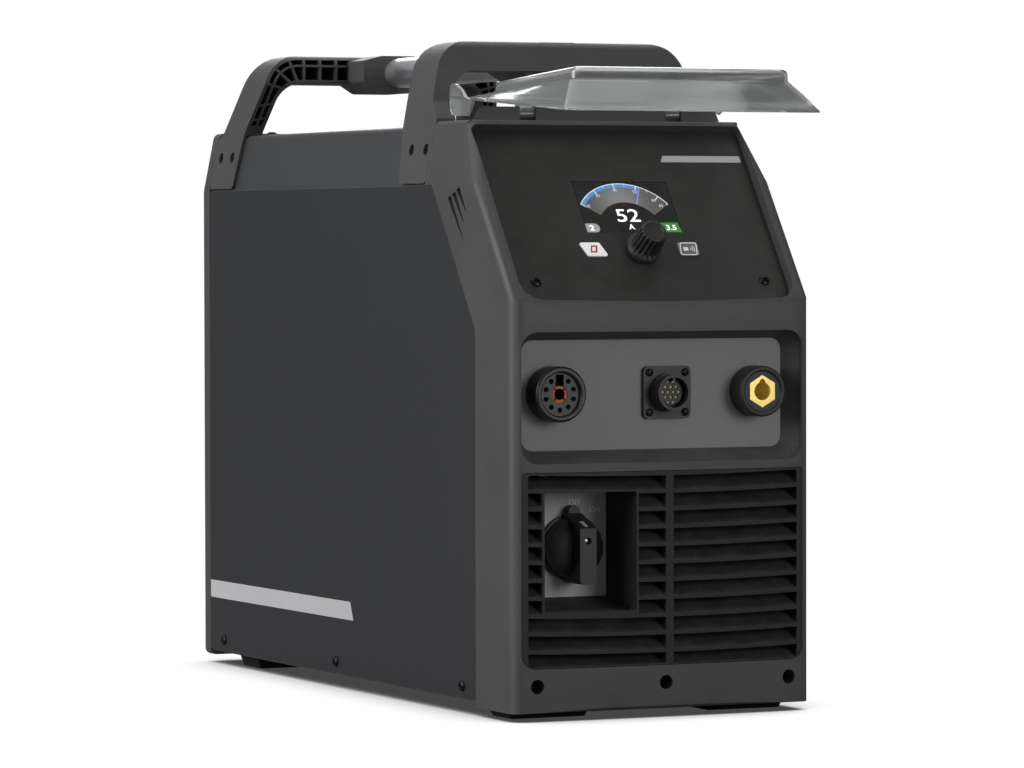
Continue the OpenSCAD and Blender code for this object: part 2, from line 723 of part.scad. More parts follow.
module signal_contacts() {
    color([0.85, 0.8, 0.6]) for (p = signal_pins())
        rod(signal_x + p.x, socket_z + p.y, signal_face_d + 0.5, recess_d + 19, 1.2, 16);
}

module signal_screws() {
    color(black) for (x = [-1, 1]) for (z = [-1, 1])
        translate([signal_x + x * signal_screw_x, 0, socket_z + z * signal_screw_x]) {
            difference() {
                rod(0, 0, recess_d - 5, recess_d - 3, 2.9, 32);
                deep(recess_d - 6, recess_d - 4) {
                    square([4, 0.8], center = true);
                    square([0.8, 4], center = true);
                }
            }
            rod(0, 0, recess_d - 3.2, recess_d - 0.1, 1.5, 24);
        }
}

earth_neck_r = earth_d / 2 - 4.5;
earth_tail_d = recess_d + 26;
// Earth socket: an insulating sleeve round a hexagonal brass contact
module earth_socket() {
    r = earth_d / 2;
    color(black) difference() {
        turned_y(socket_x, socket_z) polygon([[0, 2], [r - 4, 2], [r - 3.4, 0.5], [r - 2.4, 0], [r - 1.2, 0],
            [r, 1.2], [r, recess_d], [earth_neck_r, recess_d], [earth_neck_r, earth_tail_d], [0, earth_tail_d]]);
        translate([socket_x, 0, socket_z]) deep(-1, earth_tail_d + 1) rotate(30)
            circle(r = earth_hex / sqrt(3) + 0.05, $fn = 6);
    }
}

module earth_contact() {
    color([0.85, 0.65, 0.2]) difference() {
        union() {
            translate([socket_x, 0, socket_z]) deep(1.4, earth_tail_d + 2) rotate(30)
                circle(r = earth_hex / sqrt(3), $fn = 6);
            rod(socket_x, socket_z, earth_tail_d + 1, earth_tail_d + 12, 5);
        }
        rod(socket_x, socket_z, 0, 34, earth_bore_d / 2);
        translate([socket_x, 0, socket_z]) deep(0, 20) translate([0, earth_bore_d / 2]) circle(r = 2.4, $fn = 32);
    }
}

module earth_nut() {
    color(steel) plate_nut(socket_x, socket_z, earth_neck_r + 0.05, earth_d - 1, nut_d0, 6);
}

// ---------------------------------------------------------------- control panel

panel_face = -panel_in;
panel_back = -panel_in - panel_t;
board_out = panel_back - 13;

// Mode button: a leaning parallelogram, drawn as an (x, -s) outline grown by g
module mode_outline(g) {
    skew = 4.8 / 2;
    w = button_w / 2 + g;
    h = button_h / 2 + g;
    translate([-button_x, -button_s]) polygon(rounded([[-w + skew, -h, 1.5], [w + skew, -h, 1.5],
        [w - skew, h, 1.5], [-w - skew, h, 1.5]], 4));
}

module gas_outline(g) {
    w = button_w / 2 + g;
    h = button_h / 2 + g;
    translate([button_x, -button_s]) polygon(rounded(box_corners(-w, w, -h, h, 2), 4));
}

module lcd_outline(g) {
    polygon(box_corners_xy(-lcd_w / 2 - g, lcd_w / 2 + g, -lcd_s - lcd_h / 2 - g, -lcd_s + lcd_h / 2 + g));
}

function box_corners_xy(x0, x1, y0, y1) = [[x0, y0], [x1, y0], [x1, y1], [x0, y1]];

module control_panel() {
    color([0.14, 0.14, 0.13]) difference() {
        slope_prism(panel_back, panel_face) polygon(rounded(inset(panel_corners(0), fit)));
        slope_prism(panel_back - 1, panel_face + 1) {
            mode_outline(0.3);
            gas_outline(0.3);
            lcd_outline(0.2);
        }
        on_slope(0, dial_s, panel_back - 1) cylinder(r = 5, h = panel_t + 2);
        both_sides() on_slope(panel_screw_x, panel_screw_s, panel_back - 1) cylinder(r = 2.2, h = panel_t + 2);
    }
}

module panel_screws() {
    color(black) both_sides() on_slope(panel_screw_x, panel_screw_s, panel_face) {
        difference() {
            cylinder(r1 = 4, r2 = 3.2, h = 1.8);
            for (g = [0, 90]) rotate(g) translate([-2.2, -0.45, 0.7]) cube([4.4, 0.9, 2]);
        }
        translate([0, 0, -12]) cylinder(r = 1.6, h = 12.1);
    }
}

module display_module() {
    color([0.05, 0.06, 0.08]) {
        slope_prism(panel_back - 5, panel_face - 0.3) lcd_outline(0);
        slope_prism(panel_back - 6, panel_back - 0.05) lcd_outline(4);
    }
}

module control_board() {
    color([0.1, 0.35, 0.18]) {
        slope_prism(board_out - 1.6, board_out) polygon(box_corners_xy(-90, 90, -132, -30));
        for (x = [-84, 84]) for (s = [36, 126])
            on_slope(x, s, board_out - 0.2) cylinder(r = 3, h = panel_back - board_out + 0.15, $fn = 24);
        slope_prism(board_out - 0.2, board_out + 6.95) polygon(box_corners_xy(-20, 20, -lcd_s - 8, -lcd_s + 8));
    }
}

module encoder_body() {
    color([0.6, 0.6, 0.62]) difference() {
        union() {
            slope_prism(board_out + 0.05, panel_back - 0.05)
                polygon(box_corners_xy(-8, 8, -dial_s - 7, -dial_s + 7));
            on_slope(0, dial_s, panel_back - 1) cylinder(r = 4.6, h = panel_t + 3);
        }
        on_slope(0, dial_s, board_out + 2) cylinder(r = dial_shaft_d / 2 + 0.05, h = 30);
    }
}

dial_gap = 2.6;
module encoder_shaft() {
    color(steel) on_slope(0, dial_s, board_out + 3) cylinder(r = dial_shaft_d / 2, h = panel_face - board_out + 12);
}

module encoder_knob() {
    r = dial_d / 2;
    depth = dial_h - dial_gap;
    color(black) on_slope(0, dial_s, panel_face + dial_gap) difference() {
        rotate_extrude($fn = 72) polygon([[0, 0], [r - 0.6, 0], [r, 0.6], [r, 4], [r - 1.6, 5.5],
            [r - 3, depth - 1.5], [r - 4.5, depth], [0, depth]]);
        translate([0, 0, -1]) cylinder(r = dial_shaft_d / 2 + 0.03, h = 14);
        translate([0, 0, depth - 0.7]) cylinder(r = r - 6, h = 2);
        for (k = [0:dial_flutes - 1]) rotate(k * 360 / dial_flutes) translate([r - 0.6, 0, 5])
            rotate([0, -5, 0]) cylinder(r = 1.3, h = depth, $fn = 16);
    }
}

module button_body(out0) {
    slope_prism(panel_back - 0.9, panel_face + button_out) children(0);
    slope_prism(panel_back - 1.3, panel_back - 0.1) children(1);
}

module mode_button() {
    color("white") {
        button_body() {
            mode_outline(0);
            mode_outline(1.6);
        }
        on_slope(-button_x, button_s, board_out + 0.9) cylinder(r = 2, h = panel_back - board_out - 1.5, $fn = 24);
    }
}

module gas_test_button() {
    color([0.4, 0.4, 0.42]) {
        button_body() {
            gas_outline(0);
            gas_outline(1.6);
        }
        on_slope(button_x, button_s, board_out + 0.9) cylinder(r = 2, h = panel_back - board_out - 1.5, $fn = 24);
    }
}

// ---------------------------------------------------------------- clear cover

lug_w = 12;
lug_r = 4.4;
lid_rear_rise = 5;
// The outside of the cover's bubble, moved in by g, down to height v0 above its rim plane
module bubble(g, v0) {
    top = lid_rise - g;
    front = lid_reach - 15;
    $fn = 32;
    hull() {
        translate([0, 0, v0]) linear_extrude(0.5) polygon(rounded(box_corners(-lid_hw + g, lid_hw - g,
            -lid_reach + g, lid_tail - g, 11 - g), 4));
        for (x = [-1, 1]) {
            translate([x * (lid_hw - 27), 12 - front + g, top - 10]) cylinder(r = 10, h = 8);
            translate([x * (lid_hw - 27), 12 - front + g, top - 2]) cylinder(r = 8, h = 2);
            translate([x * (lid_hw - 12), lid_tail - 6 - g, lid_rear_rise - g]) sphere(r = 2);
        }
    }
}

module clear_cover() {
    cheek = 3;
    color([0.75, 0.77, 0.78, 0.45]) on_lid() difference() {
        union() {
            translate([0, 0, lid_lift]) difference() {
                bubble(0, 0);
                bubble(lid_wall, -0.6);
            }
            // lugs that reach down to the hinge pins
            for (x = [-hinge_x, hinge_x]) translate([x - lug_w / 2, 0, 0]) rotate([90, 0, 90])
                linear_extrude(lug_w) union() {
                    polygon([[-lug_r, 0], [lug_r, 0], [lug_r, lid_lift + lid_rear_rise + 1],
                        [-lug_r, lid_lift + lid_rear_rise + 1]]);
                    circle(r = lug_r);
                }
            // cheeks that close the ends at the hinge
            both_sides() translate([lid_hw - cheek, 0, 0]) rotate([90, 0, 90]) linear_extrude(cheek)
                polygon(rounded([[-11, lid_lift + 0.4, 0], [-9, 3.6, 3], [4, -3.6, 3], [lid_tail - 1, 1, 3],
                    [lid_tail - 1, lid_lift + 0.4, 0]], 3));
        }
        for (x = [-hinge_x, hinge_x]) translate([x - lug_w, 0, 0]) rotate([0, 90, 0])
            cylinder(r = hinge_pin_d / 2 + 0.05, h = 2 * lug_w);
    }
}

bar_gap = 0.4;
// Hinge bar on the bezel's top, with a notch for each of the cover's lugs
module hinge_bar() {
    top = pivot_z + 5;
    end = lid_hw - 3 - 1.5;
    back = lug_r + bar_gap;
    color(black) difference() {
        union() {
            deep(pivot_d - 6, pivot_d + back) polygon([[-end, rim_top_z], [end, rim_top_z], [end - 4, top],
                [-end + 4, top]]);
            deep(pivot_d + back - 0.1, pivot_d + back + 2.6) polygon([[-end, rim_top_z], [end, rim_top_z],
                [end - 3, pivot_z + 3], [-end + 3, pivot_z + 3]]);
        }
        for (x = [-hinge_x, hinge_x]) {
            block(x - lug_w / 2 - bar_gap, x + lug_w / 2 + bar_gap, pivot_d - 7, pivot_d + back, rim_top_z - 1,
                top + 1);
            translate([x - lug_w, front_y + pivot_d, pivot_z]) rotate([0, 90, 0])
                cylinder(r = hinge_pin_d / 2 + 0.01, h = 2 * lug_w);
        }
    }
}

module hinge_pins() {
    color(steel) for (x = [-hinge_x, hinge_x]) translate([x - lug_w + 0.5, front_y + pivot_d, pivot_z])
        rotate([0, 90, 0]) cylinder(r = hinge_pin_d / 2, h = 2 * lug_w - 1);
}

// ---------------------------------------------------------------- handle

cover_hw0 = inner_hw - 1.4;
cover_hw1 = side(deck_z) - cover_step;
window_top = arch_top_z - arch_bar;
arch_foot_z = fold_z + 1.5;

// Front view of an arch in (x, z): legs that lean in, a top bar and skirts over the shoulders
arch_front = [[side(arch_foot_z), arch_foot_z, 0], [side(arch_top_z), arch_top_z, arch_r],
    [-side(arch_top_z), arch_top_z, arch_r], [-side(arch_foot_z), arch_foot_z, 0],
    [-cover_hw0 - fit, arch_foot_z, 0], [-cover_hw1 - fit, deck_z + fit, 0],
    [-side(deck_z) + arch_leg, deck_z + fit, 0], [-side(window_top) + arch_leg, window_top, 18],
    [side(window_top) - arch_leg, window_top, 18], [side(deck_z) - arch_leg, deck_z + fit, 0],
    [cover_hw1 + fit, deck_z + fit, 0], [cover_hw0 + fit, arch_foot_z, 0]];

// The outer line of an arch, for the rib that follows it
arch_outer = [for (k = [0:3]) arch_front[k]];

front_arch_d1 = bezel_back_d + 62;
rear_arch_d0 = rear_seam_d - 80;
arch_gap = 0.4;
front_arch_side = [[bezel_back_d + arch_gap, arch_foot_z, 3], [bezel_back_d + 48, arch_foot_z, 3],
    [bezel_back_d + 60, deck_z, 30], [front_arch_d1, window_top, 30], [bezel_back_d + 60, arch_top_z, 8],
    [bezel_back_d + 22, arch_top_z, 8], [bezel_back_d + 16, window_top, 20], [bezel_back_d + 15, 448, 14],
    [bezel_back_d + arch_gap, 432, 5]];
rear_arch_side = [[rear_seam_d - 49, arch_foot_z, 3], [rear_seam_d - arch_gap, arch_foot_z, 3],
    [rear_seam_d - arch_gap, 425, 5], [rear_seam_d - 9, 430, 10], [rear_seam_d - 39, 478, 20],
    [rear_seam_d - 46, arch_top_z, 8], [rear_arch_d0, arch_top_z, 8], [rear_arch_d0 + 1, window_top, 10],
    [rear_seam_d - 53, deck_z, 30]];

// Pockets seen from the front: the arch less its walls, a rib along its middle and ribs across
module arch_pockets() {
    bar_mid = arch_bar / 2 - 1;
    hub_x = side(arch_top_z) - arch_r;
    difference() {
        polygon(rounded(inset(arch_front, arch_wall)));
        translate([-hw, 0]) square([body_w, deck_z + 8]);
        translate([-boss_w / 2 - 4, window_top - 20]) square([boss_w + 8, 60]);
        difference() {
            polygon(rounded(inset(arch_outer, arch_leg / 2 - rib_t / 2)));
            polygon(rounded(inset(arch_outer, arch_leg / 2 + rib_t / 2)));
        }
        for (side_sign = [-1, 1]) scale([side_sign, 1]) {
            for (x = [40:14:hub_x]) translate([x, window_top - 5]) square([rib_t, arch_bar + 10]);
            for (g = [14, 40, 66]) translate([hub_x, arch_top_z - arch_r - 2]) rotate(g)
                translate([0, -rib_t / 2]) square([60, rib_t]);
            for (z = [deck_z + 18, deck_z + 29]) translate([60, z]) rotate(-8) square([60, rib_t]);
        }
    }
}

boss_w = 40;
// The boss that holds an end of the carrying tube, from depth d0 to d1
module tube_boss(d0, d1) {
    deep(d0, d1) polygon(rounded([[-boss_w / 2 + 4, tube_z - tube_d / 2 - 3.5, 6],
        [boss_w / 2 - 4, tube_z - tube_d / 2 - 3.5, 6], [boss_w / 2 + 10, window_top + 1, 3],
        [boss_w / 2 + 10, arch_top_z - 4, 0], [boss_w / 2 - 6, arch_top_z - 0.01, 6],
        [-boss_w / 2 + 6, arch_top_z - 0.01, 6], [-boss_w / 2 - 10, arch_top_z - 4, 0],
        [-boss_w / 2 - 10, window_top + 1, 3]], 4));
}

// How far the bosses for the carrying tube stand out of the arches, and how deep the tube sits in them
front_boss_out = 24;
rear_boss_out = 30;
front_boss_d = front_arch_d1 + front_boss_out;
rear_boss_d = rear_arch_d0 - rear_boss_out;
tube_in = 30;
arch_screw_z = 410;
front_screw_d = [bezel_back_d + 10, bezel_back_d + 36];
rear_screw_d = [rear_seam_d - 37, rear_seam_d - 13];

module at_arch_screws(depths) {
    for (d = depths) both_sides() translate([side(arch_screw_z), front_y + d, arch_screw_z])
        rotate([0, 90 - lean_angle, 0]) children();
}

module arch(side_outline, shift, boss0, boss1, screws) {
    color([0.28, 0.28, 0.28]) difference() {
        union() {
            difference() {
                intersection() {
                    across(-hw, hw) polygon(rounded(side_outline, 6));
                    deep(100, body_l) polygon(rounded(arch_front, 8));
                }
                intersection() {
                    translate([0, shift, 0]) across(-hw, hw) polygon(rounded(side_outline, 6));
                    deep(100, body_l) arch_pockets();
                }
            }
            tube_boss(boss0, boss1);
        }
        at_arch_screws(screws) translate([0, 0, -8]) cylinder(r = 4.5, h = 12);
    }
}

module front_arch() {
    difference() {
        arch(front_arch_side, arch_wall, bezel_back_d + 26, front_boss_d, front_screw_d);
        rod(0, tube_z, front_boss_d - tube_in, front_boss_d + 1, tube_d / 2 + 0.05);
    }
}

module rear_arch() {
    difference() {
        arch(rear_arch_side, -arch_wall, rear_boss_d, rear_arch_d0 + 26, rear_screw_d);
        rod(0, tube_z, rear_boss_d - 1, rear_boss_d + tube_in, tube_d / 2 + 0.05);
    }
}

module handle_tube() {
    color([0.8, 0.8, 0.8]) difference() {
        rod(0, tube_z, front_boss_d - tube_in + 0.2, rear_boss_d + tube_in - 0.2, tube_d / 2);
        rod(0, tube_z, front_boss_d - tube_in, rear_boss_d + tube_in, tube_d / 2 - tube_wall);
    }
}

// ---------------------------------------------------------------- cabinet sheets

module cover_section() {
    low = 372;
    outer = [[-inner_hw, low, 0], [inner_hw, low, 0], [inner_hw, fold_z - 1, 0], [cover_hw0, fold_z + 1, 0],
        [cover_hw1, deck_z, 5], [-cover_hw1, deck_z, 5], [-cover_hw0, fold_z + 1, 0], [-inner_hw, fold_z - 1, 0]];
    difference() {
        polygon(rounded(outer, 5));
        polygon(rounded(inset(outer, sheet_t), 5));
        translate([-inner_hw + sheet_t, low - 1]) square([2 * (inner_hw - sheet_t), 5]);
    }
}

module top_cover() {
    color([0.24, 0.25, 0.26]) difference() {
        deep(bezel_back_d + 0.4, panel_edge_d) cover_section();
        at_arch_screws(concat(front_screw_d, rear_screw_d)) translate([0, 0, -12]) cylinder(r = 2.2, h = 12);
        both_sides() translate([cover_screw_x, front_y + cover_screw_d, deck_z - 4]) cylinder(r = 2.2, h = 6);
    }
}

cover_screw_x = side(deck_z) - 12;
cover_screw_d = body_l - 100;
module cover_screws() {
    color(black) both_sides() translate([cover_screw_x, front_y + cover_screw_d, deck_z]) {
        cylinder(r1 = 4, r2 = 2.6, h = 2.4);
        translate([0, 0, -6]) cylinder(r = 2, h = 6.1);
    }
}

module arch_screws() {
    color(black) at_arch_screws(concat(front_screw_d, rear_screw_d)) {
        translate([0, 0, -cover_step + 0.1]) cylinder(r = 4.1, h = 2.4);
        translate([0, 0, -10]) cylinder(r = 2, h = 8);
    }
}

panel_z0 = foot_h + 5.5;
panel_screw_depths = [87, 322, body_l - 46];
panel_screw_z = 20;
module side_panel() {
    difference() {
        across(hw - sheet_t, hw) polygon(rounded([[band_w + seam_gap, panel_z0, 0], [panel_edge_d, panel_z0, 0],
            [panel_edge_d, fold_z - 0.4, 0], [seam_d(fold_z - 0.4) + seam_gap / cos(slant), fold_z - 0.4, 0],
            [band_w + seam_gap, seam_bend_z + 0.3, seam_bend_r]], 10));
        at_panel_screws() cylinder(r = 2.3, h = 8, center = true);
    }
}

module at_panel_screws() {
    for (d = panel_screw_depths) translate([hw, front_y + d, panel_screw_z]) rotate([0, 90, 0]) children();
}

module left_side_panel() {
    color([0.22, 0.22, 0.23]) mirror([1, 0, 0]) side_panel();
}

module right_side_panel() {
    color([0.22, 0.22, 0.23]) side_panel();
}

module side_panel_screws() {
    color(black) both_sides() at_panel_screws() {
        cylinder(r1 = 4.2, r2 = 2.8, h = 2.2);
        translate([0, 0, -6]) cylinder(r = 2, h = 6.1);
    }
}

module base_tray() {
    x = inner_hw;
    xn = hw - bezel_wall - 0.3;
    lip = 22;
    color([0.18, 0.18, 0.19]) difference() {
        union() {
            block(-x, x, band_w + 0.5, panel_edge_d, tray_z, floor_z);
            block(-xn, xn, 14, band_w + 2, tray_z, floor_z);
            block(-xn, xn, 14, 14 + sheet_t, tray_z, tray_z + lip + 4);
            block(-x, -x + sheet_t, band_w + 0.5, panel_edge_d, tray_z, tray_z + lip);
            block(x - sheet_t, x, band_w + 0.5, panel_edge_d, tray_z, tray_z + lip);
            block(-x, x, panel_edge_d - sheet_t, panel_edge_d, tray_z, tray_z + lip + 4);
        }
        both_sides() at_panel_screws() cylinder(r = 2.3, h = 12, center = true);
        for (px = [-strip_screw_x, 0, strip_screw_x]) {
            rod(px, strip_screw_z, 12, 18, 2.3);
            rod(px, strip_screw_z, panel_edge_d - 4, panel_edge_d + 2, 2.3);
        }
    }
}

foot_x1 = hw - 8;
foot_x0 = foot_x1 - 66;
module skid(d0, d1, h) {
    both_sides() deep(d0, d1) polygon([[foot_x0 + 4, 0], [foot_x1 - 4, 0], [foot_x1, h], [foot_x0, h]]);
}

module front_feet() {
    color([0.1, 0.1, 0.09]) skid(28, 60, foot_h);
}

module rear_feet() {
    color([0.1, 0.1, 0.09]) skid(body_l - 95, body_l - 59, tray_z);
}

// ---------------------------------------------------------------- rear side

rear_outer = [[-hw, foot_h, 5], [hw, foot_h, 5], [hw, fold_z, 0], [side(rim_top_z), rim_top_z, 6],
    [-side(rim_top_z), rim_top_z, 6], [-hw, fold_z, 0]];
rear_window = box_corners(-hw + 16, hw - 16, foot_h + 30, fold_z - 14, 8);

module rear_bezel() {
    color(grey) difference() {
        union() {
            deep(rear_seam_d, body_l - 4) polygon(rounded(rear_outer));
            deep(body_l - 5, body_l) polygon(rounded(inset(rear_outer, 3)));
        }
        deep(rear_seam_d - 1, body_l + 1) polygon(rounded(rear_window));
        for (x = [-strip_screw_x, 0, strip_screw_x]) {
            rod(x, strip_screw_z, body_l - 11, body_l + 1, 5.25);
            rod(x, strip_screw_z, rear_seam_d - 1, body_l - 10, 2.3);
        }
        // the hollow behind the upper part of the moulding
        deep(rear_seam_d - 1, body_l - 4) polygon(rounded([[-hw + 16, fold_z - 10, 0], [hw - 16, fold_z - 10, 0],
            [side(deck_z) - 6, deck_z - 3, 3], [-side(deck_z) + 6, deck_z - 3, 3]]));
    }
}

rear_plate_d = panel_edge_d - sheet_t - 0.1;
module rear_plate() {
    color([0.24, 0.25, 0.26]) difference() {
        deep(rear_plate_d - sheet_t, rear_plate_d) polygon(box_corners_xy(-inner_hw + sheet_t + 1,
            inner_hw - sheet_t - 1, floor_z + 0.1, 380));
        rod(0, fan_z, 500, body_l, fan_d / 2 - 2, 72);
        rod(inlet_x, inlet_z, 500, body_l, gland_neck_r + 0.1);
        rod(-inlet_x, inlet_z, 500, body_l, gas_neck_r + 0.1);
        rod(0, stud_z, 500, body_l, 4.1);
        for (x = [-strip_screw_x, 0, strip_screw_x]) rod(x, strip_screw_z, rear_plate_d - 4, body_l, 2.3);
    }
}

guard_wire = 1.6;
// Guard of welded wire rings on two crossed wires, with an eye at each end of these
module fan_guard() {
    ring_d = rear_plate_d + guard_wire;
    cross_d = ring_d + guard_wire * 1.6;
    eye_r = fan_w / sqrt(2) - 8;
    color(steel) {
        translate([0, front_y + ring_d, fan_z]) rotate([90, 0, 0]) for (r = [14:10:fan_d / 2 + 4])
            rotate_extrude($fn = 72) translate([r, 0]) circle(r = guard_wire, $fn = 8);
        for (g = [45, 135]) translate([0, front_y + cross_d, fan_z]) rotate([0, g, 0])
            translate([0, 0, -eye_r]) cylinder(r = guard_wire, h = 2 * eye_r, $fn = 16);
        for (g = [45:90:315]) translate([0, 0, fan_z]) rotate([0, g, 0]) translate([0, 0, eye_r]) difference() {
            rod(0, 0, rear_plate_d, cross_d + guard_wire, 5, 32);
            rod(0, 0, rear_plate_d - 1, cross_d + 4, 2.2, 32);
        }
    }
}

fan_d1 = rear_plate_d - sheet_t - 0.05;
fan_d0 = fan_d1 - fan_t;
module fan_frame() {
    color([0.12, 0.12, 0.12]) {
        difference() {
            translate([0, 0, fan_z]) deep(fan_d0, fan_d1)
                polygon(rounded(box_corners(-fan_w / 2, fan_w / 2, -fan_w / 2, fan_w / 2, 6), 4));
            rod(0, fan_z, fan_d0 - 1, fan_d1 + 1, fan_d / 2, 72);
        }
        for (g = [45, -45]) difference() {
            translate([0, front_y + fan_d0, fan_z]) rotate([0, g, 0])
                translate([-fan_d / 2 - 2, 0, -3]) cube([fan_d + 4, 4, 6]);
            rod(0, fan_z, fan_d0 - 1, fan_d1, 10);
        }
        difference() {
            rod(0, fan_z, fan_d0, fan_d0 + 8, 22);
            rod(0, fan_z, fan_d0 - 1, fan_d1, fan_shaft_d / 2 + 0.05);
        }
    }
}

module fan_rotor() {
    hub_d0 = fan_d0 + 9;
    hub_r = 24;
    color([0.16, 0.16, 0.16]) {
        rod(0, fan_z, hub_d0, fan_d1 - 4, hub_r);
        rod(0, fan_z, fan_d0 + 0.5, hub_d0 + 1, fan_shaft_d / 2);
        intersection() {
            rod(0, fan_z, hub_d0, fan_d1 - 3, fan_d / 2 - 3, 72);
            for (k = [0:fan_blades - 1]) translate([0, front_y + hub_d0 + 12.5, fan_z])
                rotate([0, k * 360 / fan_blades, 0]) translate([hub_r - 2, 0, 0])
                rotate([38, 0, 0]) translate([0, -1.1, -22]) cube([fan_d / 2, 2.2, 44]);
        }
    }
}

gland_neck_r = gland_bore_d / 2 + 3;
module cable_gland() {
    flats = gland_bore_d + 12;
    out0 = rear_plate_d;
    color(black) difference() {
        union() {
            translate([inlet_x, 0, inlet_z]) deep(out0, out0 + 7) circle(r = flats / sqrt(3), $fn = 6);
            turned_y(inlet_x, inlet_z) polygon([[0, out0 - 12], [gland_neck_r, out0 - 12], [gland_neck_r, out0 + 1],
                [flats / 2, out0 + 1], [flats / 2, out0 + 10], [flats / 2 - 4, out0 + 15.5], [0, out0 + 15.5]]);
            translate([inlet_x, 0, inlet_z]) deep(out0 - sheet_t - 6, out0 - sheet_t)
                circle(r = flats / sqrt(3), $fn = 6);
        }
        rod(inlet_x, inlet_z, out0 - 20, body_l + 10, gland_bore_d / 2);
    }
}

gas_neck_r = 6.5;
gas_bore_r = 3;
nipple_r = 4.5;
module gas_inlet() {
    out0 = rear_plate_d;
    color([0.8, 0.65, 0.3]) difference() {
        union() {
            translate([-inlet_x, 0, inlet_z]) deep(out0, out0 + 5) circle(r = 11, $fn = 6);
            rod(-inlet_x, inlet_z, out0 - 24, out0 + 1, gas_neck_r);
            rod(-inlet_x, inlet_z, out0, out0 + 16, nipple_r);
            translate([-inlet_x, 0, inlet_z]) deep(out0 - sheet_t - 5, out0 - sheet_t) circle(r = 10.5, $fn = 6);
        }
        rod(-inlet_x, inlet_z, out0 - 30, body_l + 10, gas_bore_r);
    }
}

stud_z = 215;
module earth_stud() {
    color(steel) {
        rod(0, stud_z, rear_plate_d - 10, rear_plate_d + 15, 4);
        for (d = [rear_plate_d - sheet_t - 5, rear_plate_d]) translate([0, 0, stud_z]) deep(d, d + 5)
            circle(r = 7.5, $fn = 6);
    }
}

// ---------------------------------------------------------------- inside

bridge_hw = hw - 16;
bridge_z = 208;
bridge_d0 = 110;
bridge_d1 = body_l - 80;
module chassis_bridge() {
    color(steel) difference() {
        union() {
            block(-bridge_hw, bridge_hw, bridge_d0, bridge_d1, bridge_z - sheet_t, bridge_z);
            for (s = [-1, 1]) {
                block(s * bridge_hw - sheet_t / 2, s * bridge_hw + sheet_t / 2, bridge_d0, bridge_d1, floor_z, bridge_z - 0.2);
                block(s > 0 ? bridge_hw - 12 : -bridge_hw, s > 0 ? bridge_hw : -bridge_hw + 12, bridge_d0,
                    bridge_d1, floor_z, floor_z + sheet_t);
            }
        }
        block(-40, 40, bridge_d0 + 150, bridge_d0 + 230, bridge_z - 5, bridge_z + 1);
    }
}

board_z = bridge_z + 12;
board_hw = bridge_hw - 8;
board_t = 1.6;
module power_board() {
    color([0.1, 0.32, 0.16]) {
        block(-board_hw, board_hw, bridge_d0 + 10, bridge_d1 - 60, board_z, board_z + board_t);
        for (x = [8 - board_hw, board_hw - 8]) for (d = [bridge_d0 + 20, bridge_d1 - 70]) translate([x, front_y + d, bridge_z])
            cylinder(r = 4, h = board_z - bridge_z + 0.1, $fn = 24);
    }
}

// The choke stands near the rear end of the bridge, the core before it and the heatsink before that
choke_r = 34;
choke_d = bridge_d1 - 50;
core_hw = 46;
core_l = 90;
core_d1 = choke_d - choke_r - 16;
core_d0 = core_d1 - core_l;
heatsink_hw = bridge_hw - 38;
heatsink_l = 150;
heatsink_d1 = core_d0 - 30;
heatsink_d0 = heatsink_d1 - heatsink_l;
fin_slots = 10;
fin_slot = 6;
capacitor_r = 16;
capacitor_pitch = 36;

module capacitors() {
    color([0.1, 0.12, 0.3]) for (k = [-1.5:1.5]) for (d = [heatsink_d0 + 30, heatsink_d0 + 75])
        translate([k * capacitor_pitch, front_y + d, board_z + board_t]) cylinder(r = capacitor_r, h = 55);
}

module heatsink() {
    z0 = floor_z + 58;
    pitch = (2 * heatsink_hw - fin_slot) / fin_slots;
    color([0.75, 0.75, 0.77]) difference() {
        block(-heatsink_hw, heatsink_hw, heatsink_d0, heatsink_d1, z0, bridge_z - sheet_t);
        for (k = [0:fin_slots - 1]) let (x = k * pitch + fin_slot - heatsink_hw)
            block(x, x + fin_slot, heatsink_d0 - 1, heatsink_d1 + 1, z0 - 1, bridge_z - 14);
    }
}

module transformer() {
    color([0.35, 0.2, 0.1]) {
        block(-core_hw, core_hw, core_d0, core_d1, floor_z, floor_z + 34);
        block(-core_hw, core_hw, core_d0, core_d1, floor_z + 66, floor_z + 96);
        block(-20, 20, core_d0, core_d1, floor_z + 33, floor_z + 67);
        translate([0, front_y + core_d0 + core_l / 2, floor_z + 36]) difference() {
            cylinder(r = core_hw - 6, h = 28);
            translate([-19, -core_hw, -1]) cube([38, 2 * core_hw, 30]);
        }
    }
}

module output_choke() {
    color([0.6, 0.35, 0.15]) translate([bridge_hw - 50, front_y + choke_d, floor_z]) difference() {
        cylinder(r = choke_r, h = 48);
        translate([0, 0, -1]) cylinder(r = 15, h = 50);
    }
}

valve_x = -70;
valve_d = bridge_d1 - 90;
valve_top = bridge_z + 34;
module gas_valve() {
    color([0.6, 0.6, 0.62]) difference() {
        union() {
            block(valve_x - 17, valve_x + 17, valve_d + 42, valve_d + 84, bridge_z, valve_top);
            translate([valve_x, front_y + valve_d + 63, valve_top - 0.5]) cylinder(r = 13, h = 34);
        }
        rod(valve_x, bridge_z + 17, valve_d + 70, valve_d + 90, hose_r + 0.3);
    }
}

hose_r = 4;
hose_sides = 10;
// Route of the air hose from the gas inlet to the valve: x, depth ahead of the rear face, and height
hose_route = [[-62, 44, 318], [-62, 48, 318], [-62, 56, 314], [-63, 62, 304], [-64, 65, 290],
    [-66, 66, 274], [-68, 68, 256], [-69, 71, 240], [-70, 76, 228], [-70, 85, 225], [-70, 92, 225],
    [-70, 99, 225]];
hose_points = [for (p = hose_route) [p.x, front_y + body_l - p.y, p.z]];

